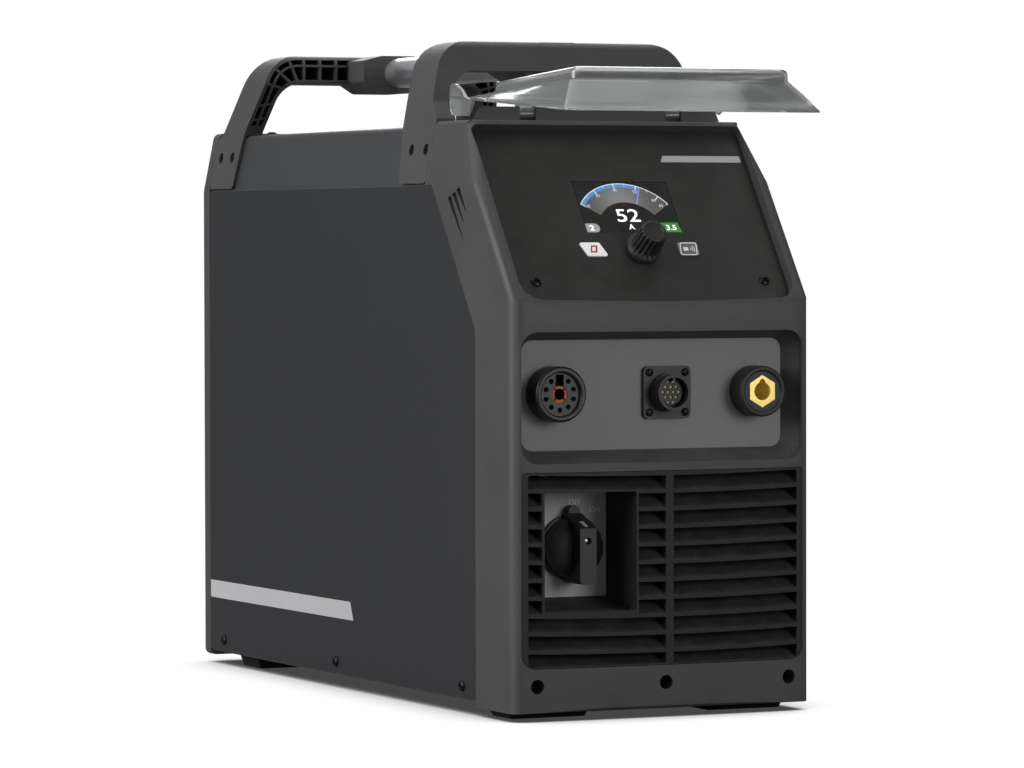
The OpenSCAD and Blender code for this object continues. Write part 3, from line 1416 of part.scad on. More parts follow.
module air_hose() {
    n = len(hose_points);
    rings = [for (k = [0:n - 1])
        let (p = hose_points[k], t = unit(hose_points[min(k + 1, n - 1)] - hose_points[max(k - 1, 0)]),
            u = [1, 0, 0] - t * t.x, a = unit(u), b = cross(t, a))
        for (j = [0:hose_sides - 1]) let (g = 360 * j / hose_sides)
        p + hose_r * (a * cos(g) + b * sin(g))];
    faces = concat([[for (j = [0:hose_sides - 1]) j]],
        [[for (j = [hose_sides - 1:-1:0]) (n - 1) * hose_sides + j]],
        [for (k = [0:n - 2]) for (j = [0:hose_sides - 1]) let (m = (j + 1) % hose_sides, q = k * hose_sides)
            each [[q + j, q + hose_sides + j, q + hose_sides + m], [q + j, q + hose_sides + m, q + m]]]);
    color("black") polyhedron(rings, faces);
}

front_bezel();
front_grille();
switch_well();
switch_plate();
switch_knob();
switch_shaft();
switch_body();
connector_plate();
torch_socket();
torch_contact();
torch_control_contacts();
torch_nut();
signal_socket();
signal_contacts();
signal_screws();
earth_socket();
earth_contact();
earth_nut();
control_panel();
display_module();
control_board();
encoder_knob();
encoder_shaft();
encoder_body();
mode_button();
gas_test_button();
panel_screws();
clear_cover();
hinge_bar();
hinge_pins();
front_arch();
rear_arch();
handle_tube();
arch_screws();
top_cover();
left_side_panel();
right_side_panel();
side_panel_screws();
cover_screws();
base_tray();
front_feet();
rear_feet();
bezel_screws();
rear_bezel();
rear_plate();
fan_guard();
fan_frame();
fan_rotor();
cable_gland();
gas_inlet();
earth_stud();
chassis_bridge();
power_board();
capacitors();
heatsink();
transformer();
output_choke();
gas_valve();
air_hose();
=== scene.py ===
"""Looks, studio and camera for a plasma cutter power unit.

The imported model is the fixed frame. Each of its nodes gets a finish here, and what the solids
leave plain, such as prints, screw heads, the wire guard and the clear hood, is built on top of
them in the same place. Sizes in the classes are millimetres: x from the middle, depth d behind
the front corners, height z above the floor, and s down the sloping face from its top edge.
"""

import json
import logging
import math
from dataclasses import dataclass, field
from enum import Enum
from typing import Iterable, Sequence

import bmesh
import bpy
from bpy.types import Material, Mesh, Node, NodeOutputs, NodeSocket, NodeTree, Object
from mathutils import Matrix, Vector

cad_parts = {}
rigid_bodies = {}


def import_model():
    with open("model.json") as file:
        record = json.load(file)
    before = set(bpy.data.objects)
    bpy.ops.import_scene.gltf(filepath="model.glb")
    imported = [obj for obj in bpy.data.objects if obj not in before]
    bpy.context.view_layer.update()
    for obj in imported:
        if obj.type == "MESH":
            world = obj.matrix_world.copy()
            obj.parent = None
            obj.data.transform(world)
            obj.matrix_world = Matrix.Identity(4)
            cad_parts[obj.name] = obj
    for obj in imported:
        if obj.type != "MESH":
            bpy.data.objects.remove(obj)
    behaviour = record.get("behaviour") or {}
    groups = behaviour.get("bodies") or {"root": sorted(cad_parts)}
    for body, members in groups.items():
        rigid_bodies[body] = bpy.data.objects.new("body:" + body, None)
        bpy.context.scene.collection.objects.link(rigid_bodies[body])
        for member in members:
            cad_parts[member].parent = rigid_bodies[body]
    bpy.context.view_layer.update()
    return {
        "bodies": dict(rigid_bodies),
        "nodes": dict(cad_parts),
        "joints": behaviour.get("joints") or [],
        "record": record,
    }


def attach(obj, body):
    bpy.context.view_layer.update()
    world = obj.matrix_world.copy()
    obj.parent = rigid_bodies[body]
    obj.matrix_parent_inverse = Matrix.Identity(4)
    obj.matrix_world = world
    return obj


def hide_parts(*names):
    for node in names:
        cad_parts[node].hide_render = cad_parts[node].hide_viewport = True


LOG = logging.getLogger("plasma_cutter_unit")
# One millimetre, and where the front corners (depth 0) lie along y, in metres.
MM = 0.001
FRONT_Y = -0.27236718665
# The control face leans back by SLANT, and its top edge lies at this depth and height.
SLANT = math.radians(36.0)
RIM_TOP_D = 95.0
RIM_TOP_Z = 430.5
HALF_WIDTH = 120.0
# Above the fold each flank leans in by LEAN millimetres for every millimetre of height.
FOLD_Z = 383.5
LEAN = 9.0 / 44.0
BODY_LENGTH = 600.0
# Level of the control panel's film under the slanted frame.
PANEL_FACE = -8.0
# The body that rides on nothing.
CHASSIS = "chassis"
# Where the display's grey band is brightest, in metres.
BAND_MIDDLE = (-0.004, -0.2186, 0.3777)
# Height of a capital as a share of the font's size.
CAPITAL_SHARE = 0.7
X_AXIS, Z_AXIS = Vector((1, 0, 0)), Vector((0, 0, 1))
FORWARD, BACKWARD = Vector((0, -1, 0)), Vector((0, 1, 0))

Colour = tuple[float, float, float]
Point = tuple[float, float]
Outline = Sequence[Point]
Seats = Sequence[tuple[Vector, Vector]]
Level = tuple[float, float, float, float, float, float]


def srgb(red: float, green: float, blue: float) -> Colour:
    """Turns display values from 0 to 255 into a linear colour.

    Args:
        red: Red display value.
        green: Green display value.
        blue: Blue display value.

    Returns:
        The linear colour.
    """

    def linear(value: float) -> float:
        """Returns one channel's linear value."""
        share = value / 255.0
        return share / 12.92 if share <= 0.04045 else ((share + 0.055) / 1.055) ** 2.4

    return linear(red), linear(green), linear(blue)


def at(x: float, d: float, z: float) -> Vector:
    """Returns the point at x, depth d and height z, in metres."""
    return Vector((x * MM, FRONT_Y + d * MM, z * MM))


# ------------------------------------------------------------------ working planes


@dataclass(frozen=True)
class WorkPlane:
    """A flat place on the unit to build on: u to the right, v up and w outwards."""

    origin: Vector
    right: Vector
    up: Vector

    def matrix(self) -> Matrix:
        """Returns the matrix from millimetres on the plane to metres in the frame."""
        out = self.right.cross(self.up)
        turn = Matrix((self.right, self.up, out)).transposed().to_4x4()
        return Matrix.Translation(self.origin) @ turn @ Matrix.Scale(MM, 4)


def slope_plane() -> WorkPlane:
    """Returns the plane of the control face, with v running up the slope from its top edge."""
    return WorkPlane(at(0, RIM_TOP_D, RIM_TOP_Z), X_AXIS, Vector((0, math.sin(SLANT), math.cos(SLANT))))


def rear_plane(depth: float) -> WorkPlane:
    """Returns the upright plane at a depth, facing backward, with u = -x and v = z."""
    return WorkPlane(at(0, depth, 0), -X_AXIS, Z_AXIS)


def side_plane(sign: int) -> WorkPlane:
    """Returns a side panel's plane, with v = z and u along the depth.

    Args:
        sign: 1 for the right side, where u = d, and -1 for the left side, where u = -d.

    Returns:
        The plane.
    """
    return WorkPlane(at(sign * HALF_WIDTH, 0, 0), BACKWARD * sign, Z_AXIS)


# ------------------------------------------------------------------ node trees


class Wiring:
    """Adds nodes to one tree and links them."""

    def __init__(self, tree: NodeTree) -> None:
        """Keeps the tree.

        Args:
            tree: The shader or geometry tree to work on.
        """
        self.tree = tree

    def add(self, kind: str, values: dict | None = None, **settings: object) -> Node:
        """Adds a node.

        Args:
            kind: The node's type name.
            values: Input name or number to a constant, or to the socket that feeds it.
            **settings: Properties of the node.

        Returns:
            The node.
        """
        node = self.tree.nodes.new(kind)
        for key, value in settings.items():
            setattr(node, key, value)
        for key, value in (values or {}).items():
            if isinstance(value, NodeSocket):
                self.tree.links.new(value, node.inputs[key])
            else:
                node.inputs[key].default_value = value
        node.location = (len(self.tree.nodes) % 9 * 190.0, -(len(self.tree.nodes) // 9) * 240.0)
        return node

    def feed(self, node: Node, key: str, value: NodeSocket) -> None:
        """Links a socket to a named input of a node."""
        self.tree.links.new(value, node.inputs[key])

    def calc(self, operation: str, first: object, second: object = 0.0) -> NodeSocket:
        """Adds a Math node and returns its result.

        Args:
            operation: The node's operation.
            first: First value or socket.
            second: Second value or socket.

        Returns:
            The result's socket.
        """
        return self.add("ShaderNodeMath", {0: first, 1: second}, operation=operation).outputs[0]

    def blend(self, factor: object, low: object, high: object) -> NodeSocket:
        """Mixes two colours and returns the result's socket.

        Args:
            factor: Share of the second colour.
            low: First colour or socket.
            high: Second colour or socket.

        Returns:
            The mixed colour's socket.
        """
        return self.add("ShaderNodeMix", {0: factor, 6: low, 7: high}, data_type="RGBA").outputs[2]

    def window(self, value: object, start: float, end: float, low: float = 0.0, high: float = 1.0) -> NodeSocket:
        """Maps a range to another with soft ends.

        Args:
            value: The value to map.
            start: Where the range starts.
            end: Where it ends.
            low: Result at the start.
            high: Result at the end.

        Returns:
            The result's socket.
        """
        node = self.add(
            "ShaderNodeMapRange", {0: value, 1: start, 2: end, 3: low, 4: high}, interpolation_type="SMOOTHSTEP"
        )
        return node.outputs[0]


class Effect(Enum):
    """The shared shader groups."""

    GRAIN = "moulded_grain"
    PEEL = "powder_coat_peel"
    CLOUD = "tone_cloud"
    DUST = "settled_dust"
    # A painted highlight along the edges.
    RUB = "painted_edge_sheen"
    DRAWN = "drawn_metal"
    HAZE = "handling_haze"


class EffectShelf:
    """Builds each shared shader group once and hands it out.

    Every group has the place as its first input. The method that is named after an effect gets the
    group's wiring and inputs, and returns what goes to its outputs, in the order of SOCKETS.
    """

    DARK = (0.1, 0.1, 0.1, 1.0)
    SOCKETS: dict[Effect, tuple[dict[str, object], tuple[str, ...]]] = {
        Effect.GRAIN: ({"Scale": 2500.0}, ("Height", "Fleck")),
        Effect.PEEL: ({"Scale": 700.0}, ("Height", "Fleck")),
        Effect.CLOUD: ({"Colour": DARK, "Second": (0.2, 0.2, 0.2, 1.0), "Amount": 0.3}, ("Colour", "Mask")),
        Effect.DUST: ({"Colour": DARK, "Amount": 0.1}, ("Colour",)),
        # The edge group mixes in a painted highlight colour along the edges.
        Effect.RUB: ({"Colour": DARK, "Bare": (0.3, 0.3, 0.3, 1.0), "Amount": 0.3, "Width": 0.0007}, ("Colour",)),
        Effect.DRAWN: ({"Stretch": (2000.0, 30.0, 2000.0)}, ("Height", "Streak")),
        Effect.HAZE: ({"Base": 0.1, "Amount": 0.1}, ("Roughness",)),
    }

    def __init__(self) -> None:
        """Starts with an empty shelf."""
        self.groups: dict[Effect, NodeTree] = {}

    def place(self, wiring: Wiring, effect: Effect, values: dict) -> Node:
        """Places a group in a material.

        Args:
            wiring: The material's tree.
            effect: Which group.
            values: Its inputs.

        Returns:
            The group node.
        """
        if effect not in self.groups:
            self.groups[effect] = self.make(effect)
        return wiring.add("ShaderNodeGroup", values, node_tree=self.groups[effect])

    def make(self, effect: Effect) -> NodeTree:
        """Makes a group, with sockets whose types follow from their first values.

        Args:
            effect: Which group.

        Returns:
            The group's tree.
        """
        inputs, outputs = self.SOCKETS[effect]
        tree = bpy.data.node_groups.new(effect.value, "ShaderNodeTree")
        tree.interface.new_socket(name="Vector", in_out="INPUT", socket_type="NodeSocketVector")
        for key, value in inputs.items():
            kind = "Float" if isinstance(value, float) else "Vector" if len(value) == 3 else "Color"
            socket = tree.interface.new_socket(name=key, in_out="INPUT", socket_type="NodeSocket" + kind)
            socket.default_value = value
        for key in outputs:
            kind = "Color" if key == "Colour" else "Float"
            tree.interface.new_socket(name=key, in_out="OUTPUT", socket_type="NodeSocket" + kind)
        wiring = Wiring(tree)
        given = wiring.add("NodeGroupInput").outputs
        end = wiring.add("NodeGroupOutput")
        results = getattr(self, "_" + effect.name.lower())(wiring, given)
        for k, result in enumerate(results):
            tree.links.new(result, end.inputs[k])
        return tree

    @staticmethod
    def _grain(w: Wiring, given: NodeOutputs) -> tuple[NodeSocket, ...]:
        """Returns the spark-eroded grain of a moulding: pits of a named size.

        Args:
            w: The group's tree.
            given: The group's inputs.

        Returns:
            The sockets for its outputs.
        """
        place, scale = given["Vector"], given["Scale"]
        pits = w.add("ShaderNodeTexVoronoi", {"Vector": place, "Scale": scale}, feature="F1")
        fine = w.add("ShaderNodeTexNoise", {"Vector": place, "Scale": w.calc("MULTIPLY", scale, 0.45), "Detail": 3.0})
        height = w.calc("ADD", w.calc("MULTIPLY", pits.outputs[0], 0.6), w.calc("MULTIPLY", fine.outputs[0], 0.6))
        return height, w.window(pits.outputs[0], 0.1, 0.75)

    @staticmethod
    def _peel(w: Wiring, given: NodeOutputs) -> tuple[NodeSocket, ...]:
        """Returns the orange peel of a powder coat, with fine flecks in it.

        Args:
            w: The group's tree.
            given: The group's inputs.

        Returns:
            The sockets for its outputs.
        """
        place, scale = given["Vector"], given["Scale"]
        broad = w.add("ShaderNodeTexNoise", {"Vector": place, "Scale": scale, "Detail": 1.5})
        fleck = w.add("ShaderNodeTexNoise", {"Vector": place, "Scale": w.calc("MULTIPLY", scale, 3.4), "Detail": 2.0})
        height = w.calc("ADD", broad.outputs[0], w.calc("MULTIPLY", fleck.outputs[0], 0.35))
        return height, w.window(fleck.outputs[0], 0.52, 0.72)

    @staticmethod
    def _cloud(w: Wiring, given: NodeOutputs) -> tuple[NodeSocket, ...]:
        """Returns a slow change of tone over a large surface.

        Args:
            w: The group's tree.
            given: The group's inputs.

        Returns:
            The sockets for its outputs.
        """
        slow = w.add("ShaderNodeTexNoise", {"Vector": given["Vector"], "Scale": 9.0, "Detail": 4.0, "Roughness": 0.6})
        mask = w.window(slow.outputs[0], 0.32, 0.7)
        return w.blend(w.calc("MULTIPLY", mask, given["Amount"]), given["Colour"], given["Second"]), mask

    @staticmethod
    def _dust(w: Wiring, given: NodeOutputs) -> tuple[NodeSocket, ...]:
        """Returns a thin veil of dust on what faces up.

        Args:
            w: The group's tree.
            given: The group's inputs.

        Returns:
            The sockets for its outputs.
        """
        normal = w.add("ShaderNodeSeparateXYZ", {0: w.add("ShaderNodeNewGeometry").outputs["Normal"]})
        upward = w.window(normal.outputs[2], 0.35, 0.95)
        spots = w.add("ShaderNodeTexNoise", {"Vector": given["Vector"], "Scale": 60.0, "Detail": 6.0, "Roughness": 0.7})
        settled = w.calc("MULTIPLY", upward, w.window(spots.outputs[0], 0.3, 0.75, 0.2, 1.0))
        veil = w.calc("MULTIPLY", settled, given["Amount"])
        return (w.blend(veil, given["Colour"], (*srgb(150, 146, 138), 1.0)),)

    @staticmethod
    def _rub(w: Wiring, given: NodeOutputs) -> tuple[NodeSocket, ...]:
        """Returns a painted highlight: a lighter line along the edges that the Bevel node finds, broken by noise.

        Args:
            w: The group's tree.
            given: The group's inputs.

        Returns:
            The sockets for its outputs.
        """
        rounded = w.add("ShaderNodeBevel", {"Radius": given["Width"]}, samples=4)
        flat = w.add("ShaderNodeNewGeometry").outputs["Normal"]
        bend = w.add("ShaderNodeVectorMath", {0: rounded.outputs[0], 1: flat}, operation="DOT_PRODUCT").outputs["Value"]
        breaks = w.add("ShaderNodeTexNoise", {"Vector": given["Vector"], "Scale": 140.0, "Detail": 5.0})
        gaps = w.window(breaks.outputs[0], 0.35, 0.65, 0.35, 1.0)
        edge = w.calc("MULTIPLY", w.window(bend, 0.995, 0.93), gaps)
        return (w.blend(w.calc("MULTIPLY", edge, given["Amount"]), given["Colour"], given["Bare"]),)

    @staticmethod
    def _drawn(w: Wiring, given: NodeOutputs) -> tuple[NodeSocket, ...]:
        """Returns the fine lines of drawn or brushed metal, stretched along one axis.

        Args:
            w: The group's tree.
            given: The group's inputs.

        Returns:
            The sockets for its outputs.
        """
        along = w.add("ShaderNodeMapping", {"Vector": given["Vector"], "Scale": given["Stretch"]})
        stretched = {"Vector": along.outputs[0], "Scale": 1.0, "Detail": 4.0, "Roughness": 0.65}
        lines = w.add("ShaderNodeTexNoise", stretched)
        return lines.outputs[0], w.window(lines.outputs[0], 0.35, 0.68)

    @staticmethod
    def _haze(w: Wiring, given: NodeOutputs) -> tuple[NodeSocket, ...]:
        """Returns the smears and fine scratches that a smooth surface picks up.

        Args:
            w: The group's tree.
            given: The group's inputs.

        Returns:
            The sockets for its outputs.
        """
        place = given["Vector"]
        smear = w.add("ShaderNodeTexNoise", {"Vector": place, "Scale": 26.0, "Detail": 5.0, "Distortion": 1.2})
        hair_size, hair_turn = (900.0, 25.0, 60.0), (0.3, 0.5, 0.9)
        turned = w.add("ShaderNodeMapping", {"Vector": place, "Rotation": hair_turn, "Scale": hair_size})
        hair = w.add("ShaderNodeTexNoise", {"Vector": turned.outputs[0], "Scale": 1.0, "Detail": 2.0})
        scratch = w.window(hair.outputs[0], 0.66, 0.74)
        lift = w.calc("ADD", w.window(smear.outputs[0], 0.4, 0.75), w.calc("MULTIPLY", scratch, 0.6))
        return (w.calc("ADD", given["Base"], w.calc("MULTIPLY", lift, given["Amount"])),)


SHELF = EffectShelf()


# ------------------------------------------------------------------ finishes


@dataclass(frozen=True)
class Finish:
    """A surface finish: its colour and its base roughness."""

    name: str
    colour: Colour
    roughness: float = 0.5

    def build(self) -> Material:
        """Makes the material, or returns it where it is there already."""
        found = bpy.data.materials.get("finish_" + self.name)
        if found:
            return found
        material = bpy.data.materials.new("finish_" + self.name)
        material.use_nodes = True
        material.node_tree.nodes.clear()
        material.diffuse_color = (*self.colour, 1.0)
        wiring = Wiring(material.node_tree)
        place = wiring.add("ShaderNodeTexCoord").outputs["Object"]
        base = {"Base Color": (*self.colour, 1.0), "Roughness": self.roughness}
        shader = wiring.add("ShaderNodeBsdfPrincipled", base)
        self.dress(wiring, shader, place)
        wiring.add("ShaderNodeOutputMaterial", {0: self.surface(wiring, shader)})
        return material

    def dress(self, wiring: Wiring, shader: Node, place: NodeSocket) -> None:
        """Adds the finish's own detail to its shader.

        Args:
            wiring: The material's tree.
            shader: Its Principled shader.
            place: Object coordinates.
        """

    def surface(self, wiring: Wiring, shader: Node) -> NodeSocket:
        """Returns the socket that goes to the material's output."""
        return shader.outputs[0]

    @staticmethod
    def bump(wiring: Wiring, shader: Node, height: NodeSocket, depth: float) -> None:
        """Raises the surface.

        Args:
            wiring: The material's tree.
            shader: Its Principled shader.
            height: The height's socket.
            depth: Depth of the pattern in millimetres.
        """
        node = wiring.add("ShaderNodeBump", {"Strength": 1.0, "Distance": depth * MM, "Height": height})
        wiring.feed(shader, "Normal", node.outputs[0])

    def tone(
        self, wiring: Wiring, place: NodeSocket, low: tuple, high: tuple, amount: float
    ) -> Node:
        """Adds a slow change between two strengths of the colour.

        Args:
            wiring: The material's tree.
            place: Object coordinates.
            low: Gain of the first strength, and its lift where it has one.
            high: Gain of the second strength, and its lift where it has one.
            amount: How much of the second one shows.

        Returns:
            The group node.
        """
        values = {"Vector": place, "Colour": self.lit(*low), "Second": self.lit(*high), "Amount": amount}
        return SHELF.place(wiring, Effect.CLOUD, values)

    def lit(self, gain: float, lift: float = 0.0) -> tuple[float, float, float, float]:
        """Returns the finish's colour times gain, plus lift, as four numbers."""
        return (*(min(1.0, c * gain + lift) for c in self.colour), 1.0)


@dataclass(frozen=True)
class Moulded(Finish):
    """Injection moulded plastic with a fine eroded grain: grain and depth are its pits, in mm."""

    grain: float = 0.45
    depth: float = 0.02
    dust: float = 0.1
    # How strong the painted highlight along the edges is.
    rub: float = 0.35
    specular: float = 0.35
    fleck: float = 0.22
    unevenness: float = 0.08

    def dress(self, wiring: Wiring, shader: Node, place: NodeSocket) -> None:
        """Adds grain, slow tone, dust and a painted highlight along the edges.

        Args:
            wiring: The material's tree.
            shader: Its Principled shader.
            place: Object coordinates.
        """
        shader.inputs["Specular IOR Level"].default_value = self.specular
        pits = SHELF.place(wiring, Effect.GRAIN, {"Vector": place, "Scale": 1000.0 / self.grain})
        tone = self.tone(wiring, place, (0.9,), (1.15,), 0.8)
        flecks = wiring.calc("MULTIPLY", pits.outputs[1], self.fleck)
        flecked = wiring.blend(flecks, tone.outputs[0], self.lit(1.6, 0.004))
        # Painted highlight: the edges turn a lighter shade of the plastic.
        edge_lit = SHELF.place(
            wiring, Effect.RUB, {"Vector": place, "Colour": flecked, "Bare": self.lit(2.0, 0.02), "Amount": self.rub}
        )
        veil = SHELF.place(wiring, Effect.DUST, {"Vector": place, "Colour": edge_lit.outputs[0], "Amount": self.dust})
        wiring.feed(shader, "Base Color", veil.outputs[0])
        rough = wiring.calc("ADD", wiring.calc("MULTIPLY", tone.outputs[1], self.unevenness), self.roughness)
        wiring.feed(shader, "Roughness", rough)
        self.bump(wiring, shader, pits.outputs[0], self.depth)


@dataclass(frozen=True)
class PowderCoat(Finish):
    """Sheet metal under a fine structured powder coat: peel and depth are its bumps, in mm."""

    peel: float = 1.3
    depth: float = 0.02
    dust: float = 0.12
    fleck: float = 0.35
    # Strength and bare-metal grey of the painted highlight along the edges.
    rub: float = 0.3
    bare: Colour = srgb(120, 120, 122)
    unevenness: float = 0.1

    def dress(self, wiring: Wiring, shader: Node, place: NodeSocket) -> None:
        """Adds peel, flecks, slow tone, dust and a painted highlight along the edges.

        Args:
            wiring: The material's tree.
            shader: Its Principled shader.
            place: Object coordinates.
        """
        coat = SHELF.place(wiring, Effect.PEEL, {"Vector": place, "Scale": 1000.0 / self.peel})
        tone = self.tone(wiring, place, (0.97,), (1.06,), 0.8)
        flecks = wiring.calc("MULTIPLY", coat.outputs[1], self.fleck)
        flecked = wiring.blend(flecks, tone.outputs[0], self.lit(1.7, 0.006))
        # Painted highlight along the edges, in a bare-metal grey.
        edge_lit_coat = SHELF.place(
            wiring, Effect.RUB, {"Vector": place, "Colour": flecked, "Bare": (*self.bare, 1.0), "Amount": self.rub}
        )
        veil = SHELF.place(wiring, Effect.DUST, {"Vector": place, "Colour": edge_lit_coat.outputs[0], "Amount": self.dust})
        wiring.feed(shader, "Base Color", veil.outputs[0])
        rough = wiring.calc("ADD", wiring.calc("MULTIPLY", coat.outputs[1], self.unevenness), self.roughness)
        wiring.feed(shader, "Roughness", rough)
        self.bump(wiring, shader, coat.outputs[0], self.depth)


@dataclass(frozen=True)
class Metal(Finish):
    """Bare, plated or polished metal, with lines along the axis whose number in lines is the lowest."""

    lines: tuple[float, float, float] = (1500.0, 60.0, 1500.0)
    depth: float = 0.004
    haze: float = 0.12
    tarnish: float = 0.25
    metallic: float = 1.0
    streak: float = 0.25

    def dress(self, wiring: Wiring, shader: Node, place: NodeSocket) -> None:
        """Adds drawn lines, tarnish and haze.

        Args:
            wiring: The material's tree.
            shader: Its Principled shader.
            place: Object coordinates.
        """
        shader.inputs["Metallic"].default_value = self.metallic
        drawn = SHELF.place(wiring, Effect.DRAWN, {"Vector": place, "Stretch": self.lines})
        tone = self.tone(wiring, place, (1.0,), (0.62,), self.tarnish)
        streaks = wiring.calc("MULTIPLY", drawn.outputs[1], self.streak)
        streaked = wiring.blend(streaks, tone.outputs[0], self.lit(1.25))
        wiring.feed(shader, "Base Color", streaked)
        haze = SHELF.place(wiring, Effect.HAZE, {"Vector": place, "Base": self.roughness, "Amount": self.haze})
        wiring.feed(shader, "Roughness", haze.outputs[0])
        self.bump(wiring, shader, drawn.outputs[0], self.depth)


@dataclass(frozen=True)
class Clear(Finish):
    """Smoke-tinted polycarbonate, a little milky, with waves from its moulding."""

    haze: float = 0.12
    passes: float = 0.82
    refraction: float = 1.5
    wave_scale: float = 38.0
    wave_depth: float = 0.1
    shadow: Colour = (0.86, 0.87, 0.87)

    def dress(self, wiring: Wiring, shader: Node, place: NodeSocket) -> None:
        """Adds transmission, haze and moulding waves.

        Args:
            wiring: The material's tree.
            shader: Its Principled shader.
            place: Object coordinates.
        """
        shader.inputs["Transmission Weight"].default_value = self.passes
        shader.inputs["IOR"].default_value = self.refraction
        tone = self.tone(wiring, place, (1.0,), (0.93,), 0.6)
        wiring.feed(shader, "Base Color", tone.outputs[0])
        haze = SHELF.place(wiring, Effect.HAZE, {"Vector": place, "Base": self.roughness, "Amount": self.haze})
        wiring.feed(shader, "Roughness", haze.outputs[0])
        wave = wiring.add("ShaderNodeTexNoise", {"Vector": place, "Scale": self.wave_scale, "Detail": 1.5})
        self.bump(wiring, shader, wave.outputs[0], self.wave_depth)

    def surface(self, wiring: Wiring, shader: Node) -> NodeSocket:
        """Returns the shader, which lets most of the light through where it casts a shadow.

        Args:
            wiring: The material's tree.
            shader: Its Principled shader.

        Returns:
            The mixed shader's socket.
        """
        path = wiring.add("ShaderNodeLightPath")
        clear = wiring.add("ShaderNodeBsdfTransparent", {0: (*self.shadow, 1.0)})
        parts = {0: path.outputs["Is Shadow Ray"], 1: shader.outputs[0], 2: clear.outputs[0]}
        return wiring.add("ShaderNodeMixShader", parts).outputs[0]


@dataclass(frozen=True)
class Ink(Finish):
    """Screen-printed ink with tiny breaks in it, where the colour under it shows."""

    under: Colour = (0.02, 0.02, 0.02)
    screen: float = 1600.0
    breaks: float = 0.3
    depth: float = 0.006

    def dress(self, wiring: Wiring, shader: Node, place: NodeSocket) -> None:
        """Adds pinholes and a fine screen texture.

        Args:
            wiring: The material's tree.
            shader: Its Principled shader.
            place: Object coordinates.
        """
        screen = SHELF.place(wiring, Effect.PEEL, {"Vector": place, "Scale": self.screen})
        holes = wiring.calc("MULTIPLY", screen.outputs[1], self.breaks)
        tone = self.tone(wiring, place, (0.95,), (1.06,), 0.8)
        wiring.feed(shader, "Base Color", wiring.blend(holes, tone.outputs[0], (*self.under, 1.0)))
        self.bump(wiring, shader, screen.outputs[0], self.depth)


@dataclass(frozen=True)
class Pixels(Finish):
    """A lit part of the display, with its pixel grid: pitch is in mm.

    Where bright_at is given, the tone falls off from there over reach metres.
    """

    glow: float = 0.8
    pitch: float = 0.32
    bright_at: tuple[float, float, float] | None = None
    reach: float = 0.03
    gap: Point = (0.02, 0.14)
    coat: float = 0.4
    coat_roughness: float = 0.08

    def dress(self, wiring: Wiring, shader: Node, place: NodeSocket) -> None:
        """Adds the emission and the grid.

        Args:
            wiring: The material's tree.
            shader: Its Principled shader.
            place: Object coordinates.
        """
        shader.inputs["Emission Strength"].default_value = self.glow
        fine = wiring.add("ShaderNodeMapping", {"Vector": place, "Scale": (1000.0 / self.pitch,) * 3})
        parts = wiring.add("ShaderNodeSeparateXYZ", {0: fine.outputs[0]})
        column = wiring.calc("PINGPONG", parts.outputs[0], 0.5)
        row = wiring.calc("PINGPONG", parts.outputs[2], 0.5)
        across, upward = (wiring.window(line, *self.gap) for line in (column, row))
        cell = wiring.calc("MULTIPLY", across, upward)
        if self.bright_at:
            centred = wiring.add("ShaderNodeMapping", {"Vector": place, "Location": tuple(-c for c in self.bright_at)})
            away = wiring.add("ShaderNodeVectorMath", {0: centred.outputs[0]}, operation="LENGTH").outputs["Value"]
            shade = wiring.blend(wiring.window(away, 0.0, self.reach), self.lit(2.1), self.lit(0.6))
        else:
            shade = self.tone(wiring, place, (1.0,), (0.9,), 0.5).outputs[0]
        lit = wiring.blend(cell, self.lit(0.45), shade)
        wiring.feed(shader, "Emission Color", lit)
        wiring.feed(shader, "Base Color", lit)
        shader.inputs["Coat Weight"].default_value = self.coat
        shader.inputs["Coat Roughness"].default_value = self.coat_roughness


@dataclass(frozen=True)
class Glass(Finish):
    """Dark glass over the display."""

    haze: float = 0.08

    def dress(self, wiring: Wiring, shader: Node, place: NodeSocket) -> None:
        """Adds smears and a faint depth of tone.

        Args:
            wiring: The material's tree.
            shader: Its Principled shader.
            place: Object coordinates.
        """
        haze = SHELF.place(wiring, Effect.HAZE, {"Vector": place, "Base": self.roughness, "Amount": self.haze})
        wiring.feed(shader, "Roughness", haze.outputs[0])
        tone = self.tone(wiring, place, (1.0,), (1.5, 0.002), 1.0)
        wiring.feed(shader, "Base Color", tone.outputs[0])


@dataclass(frozen=True)
class Banded(Finish):
    """Wound wire, stacked sheet or printed tracks: two tones in bands, pitch and relief in mm."""

    second: Colour = (0.05, 0.05, 0.05)
    pitch: float = 1.6
    axis: str = "Z"
    metallic: float = 0.0
    relief: float = 0.2

    def dress(self, wiring: Wiring, shader: Node, place: NodeSocket) -> None:
        """Adds the bands, their relief and a slow tone.

        Args:
            wiring: The material's tree.
            shader: Its Principled shader.
            place: Object coordinates.
        """
        shader.inputs["Metallic"].default_value = self.metallic
        bands = wiring.add(
            "ShaderNodeTexWave",
            {"Vector": place, "Scale": 314.0 / self.pitch, "Distortion": 0.6, "Detail": 1.0},
            bands_direction=self.axis,
        )
        tone = self.tone(wiring, place, (0.85,), (1.2,), 0.8)
        mixed = wiring.blend(bands.outputs[1], (*self.second, 1.0), tone.outputs[0])
        wiring.feed(shader, "Base Color", mixed)
        self.bump(wiring, shader, bands.outputs[1], self.relief)


